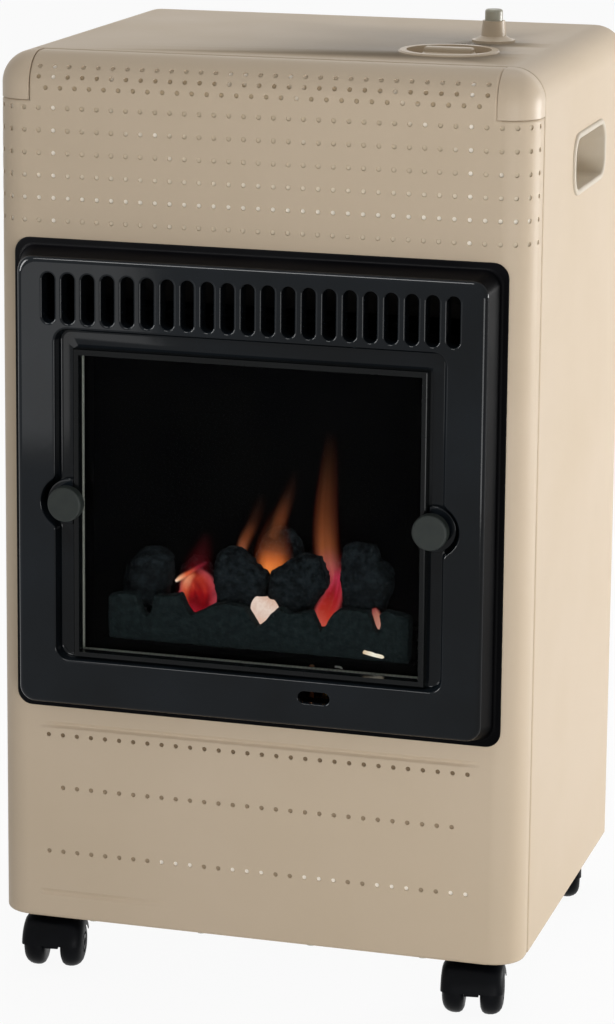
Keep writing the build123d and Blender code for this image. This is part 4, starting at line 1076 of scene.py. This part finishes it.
def buildFireFrame():
    form = frameForm
    shape = newShape()
    _, crown = addWall(shape, roundedPath(form["wall"]), lambda inset: roundedLoop(
        form["half"] - inset, form["low"] + inset, form["high"] - inset, form["corner"]))
    sunkTop, sunkFloor = addWall(shape, roundedPath(form["sunkWall"]), sunkLoop)
    faceHoles = [sunkTop]
    slots = form["slots"]
    for count in range(slots["count"]):
        x = (count - (slots["count"] - 1) / 2) * slots["pitch"]
        top, _ = addWall(shape, roundedPath(form["slotWall"]), lambda grow: roundedLoop(
            slots["half"] + grow, slots["low"] - grow, slots["high"] + grow, slots["half"] + grow, 6, x))
        faceHoles.append(top)
    sight = form["sight"]
    top, _ = addWall(shape, roundedPath(form["sightWall"]), lambda grow: roundedLoop(
        sight["halfLength"] + grow, sight["high"] - sight["half"] - grow, sight["high"] + sight["half"] + grow,
        sight["half"] + grow, 6, sight["x"]))
    faceHoles.append(top)
    fillFlat(shape, crown, faceHoles)
    half, low, high = form["window"]
    windowRing = addRing(shape, roundedLoop(half, low, high, 1.0, 2), form["panelProud"])
    fillFlat(shape, sunkFloor, [windowRing])
    points = [at(x, -proud, high) for x, high, proud in shape["points"]]
    pan = makePiece("fire_frame_enamelled", points, shape["faces"], "frame_enamel", nodes=("fire_frame",))
    addSheet(pan, form["sheet"])
    smoothEdges(pan, form["sharpAngle"])
    framePieces.objects.link(pan)
    # the flange and outer walls take the nearly black copy of the enamel: painted shade
    pan.data.materials.append(finishes["shaded_flange_enamel"])
    shadedBand = form["shadedEnamel"]
    under, over = at(0, 0, form["low"] + shadedBand["under"]).z, at(0, 0, form["high"] - shadedBand["over"]).z
    for face in pan.data.polygons:
        x, deep, high = face.center
        outside = abs(x) > shadedBand["beyond"] * mm or not under < high < over
        if outside and deep > at(0, -shadedBand["proud"], 0).y:
            face.material_index = 1
    land = form["land"]
    for side, sign in (("left", -1), ("right", 1)):
        shape = newShape()
        profile = roundedPath([(0, land["base"], 0), (0, land["proud"], land["edge"]), (2, land["proud"], 0)], 4)
        base, top = addWall(shape, profile, lambda inset: landLoop(sign, inset))
        shape["faces"] += [turned(base), tuple(top)]
        points = [at(x, -proud, high) for x, high, proud in shape["points"]]
        boss = makePiece(f"knob_land_{side}", points, shape["faces"], "frame_enamel")
        smoothEdges(boss)
        framePieces.objects.link(boss)
    print("fire frame:", len(pan.data.polygons), "faces")


buildFireFrame()


# ---- fire: ceramic strip, coals and burning gas

stripForm = {
    "deep": (4.0, 16.0), "bottom": 233.5, "half": 121.0,
    # broken upper edge, with the gaps that the fire shows through
    "edge": [(-121, 267), (-113, 269.5), (-99, 270.5), (-96, 259), (-90, 251.5), (-86, 259), (-84, 270),
             (-71, 271), (-63, 273), (-58.5, 263), (-54, 256.5), (-49, 259), (-38, 265), (-28, 269),
             (-15, 267), (-9, 265), (-4.5, 258), (0, 251.5), (6, 257), (12, 264.5), (17, 268), (27, 264),
             (36, 266), (43, 268), (46, 261), (50.5, 252.5), (55, 258), (59, 266), (64, 270.5), (75, 272),
             (88, 271), (90, 266), (92.5, 258), (95.8, 253.7), (98.4, 262), (97.5, 270.5), (103, 273),
             (114, 271), (121, 269)],
    "lowGap": [(84, 237.2), (101, 234.9), (102, 238.2), (93, 240), (85, 241.4)],
    "voxel": 1.3, "rough": 0.9, "roughSize": 7.0, "seed": 4,
}


# pitted surface of formed ceramic fibre: coarse lumps with finer pits on them
fibreForm = {"falloff": 0.9, "octaveGap": 2.1, "octaves": 5, "lumps": 0.7, "pitScale": 3.7, "pits": 0.35}


def roughen(mesh, amount, size, seed):
    form = fibreForm
    shift = Vector((seed * 7.3, seed * 3.1, seed * 5.7))
    normals = [vertex.normal.copy() for vertex in mesh.vertices]
    for vertex, normal in zip(mesh.vertices, normals):
        spot = vertex.co / (size * mm) + shift
        push = noise.fractal(spot, form["falloff"], form["octaveGap"], form["octaves"]) * form["lumps"]
        push += noise.noise(spot * form["pitScale"]) * form["pits"]
        vertex.co += normal * push * amount * mm
    mesh.update()


def applyModifiers(piece):
    graph = bpy.context.evaluated_depsgraph_get()
    shaped = bpy.data.meshes.new_from_object(piece.evaluated_get(graph))
    piece.modifiers.clear()
    piece.data = shaped


def remeshed(piece, voxel, material):
    grid = piece.modifiers.new("grid", "REMESH")
    grid.mode = "VOXEL"
    grid.voxel_size = voxel * mm
    applyModifiers(piece)
    mesh = piece.data
    mesh.materials.clear()
    mesh.materials.append(material)
    shadeSmooth(mesh)
    return mesh


def buildStrip():
    form = stripForm
    near, far = form["deep"]
    outline = [(-form["half"], form["bottom"]), (form["half"], form["bottom"]), *reversed(form["edge"])]
    rings = [outline, form["lowGap"]]
    flat = []
    loops = [addLoop(flat, ring) for ring in rings]

    def isHole(middle, corners):
        inGap = insideLoop(middle.x, middle.y, rings[1])
        return inGap or not insideLoop(middle.x, middle.y, rings[0])

    triangles = triangulate(flat, loops, [], isHole)
    count = len(flat)
    points = [at(x, deep, high) for deep in (near, far) for x, high in flat]
    faces = triangles + [turned(triangle, count) for triangle in triangles]
    faces += [(b, a, a + count, b + count) for loop in loops for a, b in closedPairs(loop)]
    strip = makePiece("ceramic_strip_formed", points, faces, "ceramic", nodes=("front_ceramic",))
    mesh = remeshed(strip, form["voxel"], finishes["ceramic"])
    roughen(mesh, form["rough"], form["roughSize"], form["seed"])
    print("ceramic strip:", len(mesh.polygons), "faces")


trayTop = 248.1  # the coals stand on it

# coals, each drawn by its outline from the front: x, high
coalForms = {
    "coal_left": {"seed": 3, "deep": (17.5, 49), "outline": [
        (-112, 276), (-110, 290), (-104, 298.5), (-96, 302.5), (-85, 301), (-77.5, 296), (-77.5, 283), (-80, 270),
        (-82, 258), (-88, trayTop), (-104, trayTop), (-110, 262)]},
    "coal_middle_left": {"seed": 11, "deep": (17, 48), "outline": [
        (-42, 282), (-41.5, 293), (-39, 301), (-32, 307.5), (-23, 307), (-12, 298.5), (-1, 289.5), (1, 281), (-3, 266),
        (-11, 256), (-22, trayTop), (-33, trayTop), (-39, 262), (-41, 273)]},
    "coal_middle_right": {"seed": 18, "deep": (17, 48), "outline": [
        (2, 279), (3, 289), (20, 301.5), (31, 307.5), (42, 304.5), (49.5, 293), (49, 283), (43, 273.5), (36, 264),
        (32, 254), (24, trayTop), (14, trayTop), (7, 256), (3, 268)]},
    "coal_right": {"seed": 27, "deep": (17, 49), "outline": [
        (60, 290), (60.5, 304), (62, 315), (70, 318.5), (86, 317.5), (90, 307), (101, 299), (101.5, 286), (97, 273),
        (92, 259), (84, trayTop), (68, trayTop), (62, 262), (61.5, 276)]},
}
rearCoalForm = {
    "seed": 40, "deep": (50, 64), "outlines": [
        [(-74, trayTop), (-79, 266), (-77, 282), (-68, 291), (-57, 290), (-49, 281), (-47, 264), (-52, trayTop)],
        [(-14, trayTop), (-18, 270), (-16, 296), (-9, 313), (-1, 319), (12, 319.5), (21, 311), (23, 290), (18, 266),
         (14, trayTop)],
        [(40, trayTop), (36, 266), (37, 284), (46, 296), (58, 296), (67, 284), (68, 264), (62, trayTop)],
        [(-123, trayTop), (-126, 262), (-123, 280), (-115, 288), (-106, 284), (-101, 268), (-104, trayTop)],
    ],
}
coalSurface = {"voxel": 1.15, "layers": 26, "fullness": 2.7, "rough": 2.1, "roughSize": 10.0,
               "pits": 0.35, "pitSize": 3.0, "reach": 0.995, "between": 6}


def pillow(shape, outline, near, far):
    # rings of the outline, largest in the middle and drawn in towards both ends
    dense, steps = [], coalSurface["between"]
    for (x1, z1), (x2, z2) in closedPairs(outline):
        dense += [(x1 + (x2 - x1) * step / steps, z1 + (z2 - z1) * step / steps) for step in range(steps)]
    middleX = sum(x for x, _ in dense) / len(dense)
    middleZ = sum(z for _, z in dense) / len(dense)
    power, layers = coalSurface["fullness"], coalSurface["layers"]
    start, reach = len(shape["points"]), coalSurface["reach"]
    for layer in range(layers + 1):
        t = -reach + 2 * reach * layer / layers
        scale = (1 - abs(t) ** power) ** (1 / power)
        deep = (near + far) / 2 + t * (far - near) / 2
        shape["points"] += [at(middleX + (x - middleX) * scale, deep, middleZ + (z - middleZ) * scale)
                            for x, z in dense]
    joinRings(shape, start, len(dense))


def finishCoal(piece, seed, floor):
    mesh = remeshed(piece, coalSurface["voxel"], finishes["coal"])
    roughen(mesh, coalSurface["rough"], coalSurface["roughSize"], seed)
    roughen(mesh, coalSurface["rough"] * coalSurface["pits"], coalSurface["pitSize"], seed + 1)
    for vertex in mesh.vertices:
        vertex.co.z = max(vertex.co.z, floor)  # flat where it stands on the tray
    mesh.update()


def buildCoals():
    floor = at(0, 0, trayTop).z
    for name, form in coalForms.items():
        shape = newShape()
        pillow(shape, form["outline"], *form["deep"])
        coal = makePiece(name + "_formed", shape["points"], shape["faces"], "coal", nodes=(name,))
        finishCoal(coal, form["seed"], floor)
    shape = newShape()
    for outline in rearCoalForm["outlines"]:
        pillow(shape, outline, *rearCoalForm["deep"])
    rear = makePiece("rear_coals_formed", shape["points"], shape["faces"], "coal", nodes=("rear_coals",))
    finishCoal(rear, rearCoalForm["seed"], floor)
    print("coals made")


def burningGas(name, look, seed):
    # luminous gas on a curved sheet: u runs across it and v along it; soft sides, streaks along the flow
    edgeColour, edgeAmount = look["edge"]
    material, add = newMaterial(name)
    marks = add("TexCoord").outputs
    across = add("SeparateXYZ", {"Vector": marks["UV"]})
    drawnOut = add("Mapping", {"Scale": (*look["streak"], 1), "Vector": marks["UV"]})
    shift = add("VectorMath", {0: drawnOut, 1: (seed, seed * 3.7, 0)}, operation="ADD")
    streak = add("TexNoise", {"Scale": 1.0, "Detail": 3.0, "Distortion": 0.6, "Vector": shift})
    side = add("Math", {0: across.outputs["X"], 1: 0.5}, operation="PINGPONG")
    soft = add("MapRange", {"From Max": look["softness"], "Value": side}, interpolation_type="SMOOTHSTEP")
    shaped = setRamp(add("ValToRGB", {"Fac": across.outputs["Y"]}),
                     [(stop, (amount, amount, amount, 1)) for stop, amount in look["density"].items()])
    body = add("Math", {0: soft, 1: shaped}, operation="MULTIPLY")
    shaken = add("MapRange", {"From Min": 0.3, "From Max": 0.7, "To Min": 1 - look["flicker"], "To Max": 1.1,
                              "Value": streak})
    part = add("Math", {0: body, 1: shaken}, operation="MULTIPLY", use_clamp=True)
    along = add("Math", {0: streak, 1: look["stir"], 2: across.outputs["Y"]}, operation="MULTIPLY_ADD")
    shiftBack = add("Math", {0: along, 1: look["stir"] / 2}, operation="SUBTRACT", use_clamp=True)
    colour = setRamp(add("ValToRGB", {"Fac": shiftBack}),
                     [(stop, linearColour(code)) for stop, code in look["colours"].items()])
    edge = add("MapRange", {"From Max": 0.3, "To Min": edgeAmount, "To Max": 0.0, "Value": side},
               interpolation_type="SMOOTHSTEP")
    tinted = add("Mix", {0: edge, 6: colour, 7: linearColour(edgeColour)}, data_type="RGBA").outputs[2]
    clear = add("BsdfTransparent")
    glow = add("Emission", {"Strength": 1.0, "Color": tinted})
    shader = add("MixShader", {0: part, 1: clear, 2: glow})
    return endMaterial(material, shader)


# tongues of burning gas; a spine is x, high and half width, and density and colours go from its root to its tip
gasSheet = {"rows": 28, "columns": 8, "bulge": 3.0, "bulgeShare": 0.25}
gasCommon = {"streak": (3, 1.2), "softness": 0.5, "flicker": 0.35, "stir": 0.1}
gasForms = {
    "glow_left_haze": {
        "deep": 49.5, "spine": [(-64, 246, 13), (-65, 262, 17), (-62, 282, 15), (-57, 300, 10), (-53, 314, 5)],
        "streak": (3, 2), "flicker": 0.4, "stir": 0.2, "density": {0: 1, 0.5: 0.95, 0.8: 0.5, 1: 0},
        "colours": {0: "#6e0d12", 0.4: "#5a0a10", 0.7: "#3c0a0e", 1: "#1c0507"}, "edge": ("#22060a", 0.6)},
    "glow_left_body": {
        "deep": 46, "spine": [(-65, 241, 6), (-62, 249, 13), (-60, 259, 17.5), (-62, 270, 17), (-68, 280, 10)],
        "streak": (5, 2.2), "softness": 0.12, "flicker": 0.5, "stir": 0.5,
        "density": {0: 0.9, 0.3: 1, 0.85: 1, 1: 0},
        "colours": {0: "#d0506a", 0.2: "#a81c2c", 0.42: "#6a060e", 0.62: "#981418", 0.82: "#b83a28", 1: "#7a1c16"},
        "edge": ("#c85a68", 0.6)},
    "glow_left_core": {
        "deep": 43, "spine": [(-67, 254, 1.5), (-69.5, 262, 4.5), (-70, 270, 6), (-67, 276.5, 5), (-61, 281, 2.5)],
        "streak": (3, 1.5), "stir": 0.2, "density": {0: 0.2, 0.3: 0.8, 0.8: 0.95, 1: 0},
        "colours": {0: "#9a2016", 0.35: "#cf5a34", 0.65: "#f09a74", 1: "#e0683c"}, "edge": ("#c43c28", 0.5)},
    "glow_left_streak": {
        "deep": 41, "spine": [(-77.5, 273.5, 1.6), (-73, 277, 3), (-66, 281.5, 2.8), (-58, 287, 2.6),
                              (-50, 292, 1.6)],
        "streak": (2, 1.5), "softness": 0.45, "flicker": 0.25, "stir": 0.15,
        "density": {0: 1, 0.5: 1, 0.85: 0.7, 1: 0},
        "colours": {0: "#ffe2cc", 0.2: "#fbb68c", 0.42: "#d9603a", 0.7: "#8e2230", 1: "#4c0f1e"},
        "edge": ("#a02a20", 0.4)},
    "glow_middle": {
        "deep": 49.5, "spine": [(-2, 282, 9), (-0.5, 291, 16), (0, 300, 17), (1, 311, 15), (3, 326, 10),
                                (6, 338, 5)],
        "streak": (3, 1.4), "softness": 0.42, "flicker": 0.3, "density": {0: 1, 0.42: 1, 0.6: 0.62, 1: 0},
        "colours": {0: "#ff9c48", 0.14: "#f08540", 0.3: "#cf6a32", 0.46: "#8a4a2c", 0.7: "#4a2c1c", 1: "#241710"},
        "edge": ("#8c3020", 0.7)},
    "glow_right_haze": {
        "deep": 49, "spine": [(41, 240, 9), (45, 256, 13), (52, 274, 14), (56, 290, 12), (54, 306, 9)],
        "streak": (3, 2), "stir": 0.2, "density": {0: 0.9, 0.5: 0.9, 0.8: 0.6, 1: 0},
        "colours": {0: "#5a0d0c", 0.4: "#60100f", 0.7: "#7a1c2a", 1: "#3c1016"}, "edge": ("#2a0608", 0.6)},
    "flame_right": {
        "deep": 45, "spine": [(54, 276, 5), (49, 288, 10), (45, 302, 12), (43.5, 320, 12), (43.5, 342, 11),
                              (45, 366, 9), (46.5, 388, 6.5), (47, 402, 4)],
        "streak": (5, 1.2), "softness": 0.42, "density": {0: 0.6, 0.12: 0.95, 0.4: 0.8, 0.65: 0.5, 0.85: 0.2, 1: 0},
        "colours": {0: "#8c2036", 0.13: "#b4484c", 0.24: "#ae5a50", 0.36: "#94502e", 0.55: "#743c20",
                    0.78: "#4a2814", 1: "#241409"}, "edge": ("#7c1c14", 0.65)},
    "glow_right_body": {
        "deep": 40, "spine": [(39.5, 238, 4), (41.5, 247, 9), (46, 260, 10.5), (51.5, 273, 8.5), (55, 286, 5),
                              (54, 296, 3)],
        "streak": (4, 1.8), "softness": 0.2, "stir": 0.4, "density": {0: 1, 0.5: 1, 0.85: 0.9, 1: 0},
        "colours": {0: "#f0a498", 0.2: "#d06050", 0.4: "#b03226", 0.6: "#9a1c22", 0.85: "#a82a44", 1: "#8a2038"},
        "edge": ("#c05058", 0.7)},
    "glow_right_core": {
        "deep": 41, "spine": [(45.5, 247, 1.2), (48, 255, 2.8), (51, 265, 2.8), (53.5, 276, 1.4)],
        "streak": (2, 1.4), "flicker": 0.2, "stir": 0.15, "density": {0: 0.3, 0.3: 1, 0.7: 0.9, 1: 0},
        "colours": {0: "#d05a34", 0.4: "#ffae6c", 0.7: "#f0844c", 1: "#b8402c"}, "edge": ("#c8462c", 0.4)},
    "glow_right_wisp": {
        "deep": 42, "spine": [(51, 281, 2), (56, 286.5, 4), (61.5, 291, 3.4), (65, 295, 1.4)],
        "streak": (2, 1.4), "flicker": 0.2, "density": {0: 0.6, 0.5: 0.95, 1: 0},
        "colours": {0: "#b04a5c", 0.5: "#a03050", 1: "#5a1426"}, "edge": ("#5a1020", 0.4)},
    "flame_left": {
        "deep": 50, "spine": [(-27.5, 296, 5), (-24, 308, 6.5), (-18, 320, 6.5), (-13, 333, 6), (-9, 347, 4)],
        "density": {0: 0.9, 0.4: 0.75, 0.75: 0.4, 1: 0},
        "colours": {0: "#b86a4a", 0.3: "#7e4226", 0.6: "#3e1f13", 1: "#180b07"}, "edge": ("#5a2012", 0.5)},
    "flame_middle": {
        "deep": 52, "spine": [(-2, 312, 6), (3, 324, 7.5), (8, 338, 7.5), (13, 352, 6), (17, 368, 3)],
        "density": {0: 0.6, 0.3: 0.85, 0.7: 0.45, 1: 0},
        "colours": {0: "#7a4428", 0.35: "#70391f", 0.65: "#3c2014", 1: "#170c08"}, "edge": ("#4c1a10", 0.5)},
    "strip_gap_glow": {
        "deep": 17.4, "spine": [(0, 248.5, 4), (0.5, 256, 8), (2, 263, 11.5), (5.5, 268.5, 10), (7.5, 273, 3)],
        "streak": (9, 7), "softness": 0.02, "flicker": 0, "stir": 0.6, "density": {0: 1, 1: 1},
        "colours": {0: "#e8b49c", 0.35: "#e3c4b4", 0.6: "#efd6c8", 1: "#d9ae98"}, "edge": ("#c86a4a", 0)},
    "strip_slit_glow": {
        "deep": 17.4, "spine": [(95, 250, 2), (94, 260, 4.2), (91.5, 268, 4.2), (90, 272, 2)],
        "streak": (4, 3), "softness": 0.3, "flicker": 0, "stir": 0.4, "density": {0: 1, 1: 1},
        "colours": {0: "#c89080", 0.5: "#b0705f", 0.8: "#96504a", 1: "#70201c"}, "edge": ("#7a2018", 0.6)},
    "strip_low_glow": {
        "deep": 7, "spine": [(84, 239.5, 1.6), (93, 238.4, 2.4), (102, 236.4, 1.6)],
        "streak": (3, 2), "softness": 0.05, "flicker": 0, "stir": 0.3, "density": {0: 1, 1: 1},
        "colours": {0: "#d8b48c", 0.5: "#fff6e4", 1: "#e8d4b4"}, "edge": ("#e0a060", 0)},
}


def smoothSpine(spine, steps):
    # Catmull-Rom through the tongue's middle points
    padded = [spine[0], *spine, spine[-1]]
    places = []
    for step in range(steps + 1):
        along = step / steps * (len(spine) - 1)
        index = min(int(along), len(spine) - 2)
        t = along - index
        before, start, end, after = (Vector(point) for point in padded[index:index + 4])
        places.append(0.5 * (2 * start + (end - before) * t + (2 * before - 5 * start + 4 * end - after) * t * t
                             + (3 * start - before - 3 * end + after) * t ** 3))
    return places


def buildGas():
    rows, columns = gasSheet["rows"], gasSheet["columns"]
    for seed, (name, form) in enumerate(gasForms.items(), 1):
        form = {**gasCommon, **form}
        points, marks = [], []
        places = smoothSpine(form["spine"], rows)
        bulge = min(gasSheet["bulge"], max(place.z for place in places) * gasSheet["bulgeShare"])
        for row, place in enumerate(places):
            near, far = places[max(row - 1, 0)], places[min(row + 1, rows)]
            flow = Vector((far.x - near.x, far.y - near.y)).normalized()
            for column in range(columns + 1):
                away = 2 * column / columns - 1
                x, high = place.x + flow.y * away * place.z, place.y - flow.x * away * place.z
                points.append(at(x, form["deep"] - bulge * (1 - away * away), high))
                marks.append((column / columns, row / rows))
        faces = gridFaces(0, columns, rows)
        gas = makePiece(name, points, faces, "coal", material=burningGas(name + "_burning_gas", form, seed))
        shadeSmooth(gas.data)
        layer = gas.data.uv_layers.new(name="UVMap")
        for loop in gas.data.loops:
            layer.data[loop.index].uv = marks[loop.vertex_index]
    print("burning gas:", len(gasForms), "tongues")


buildStrip()
buildCoals()
buildGas()
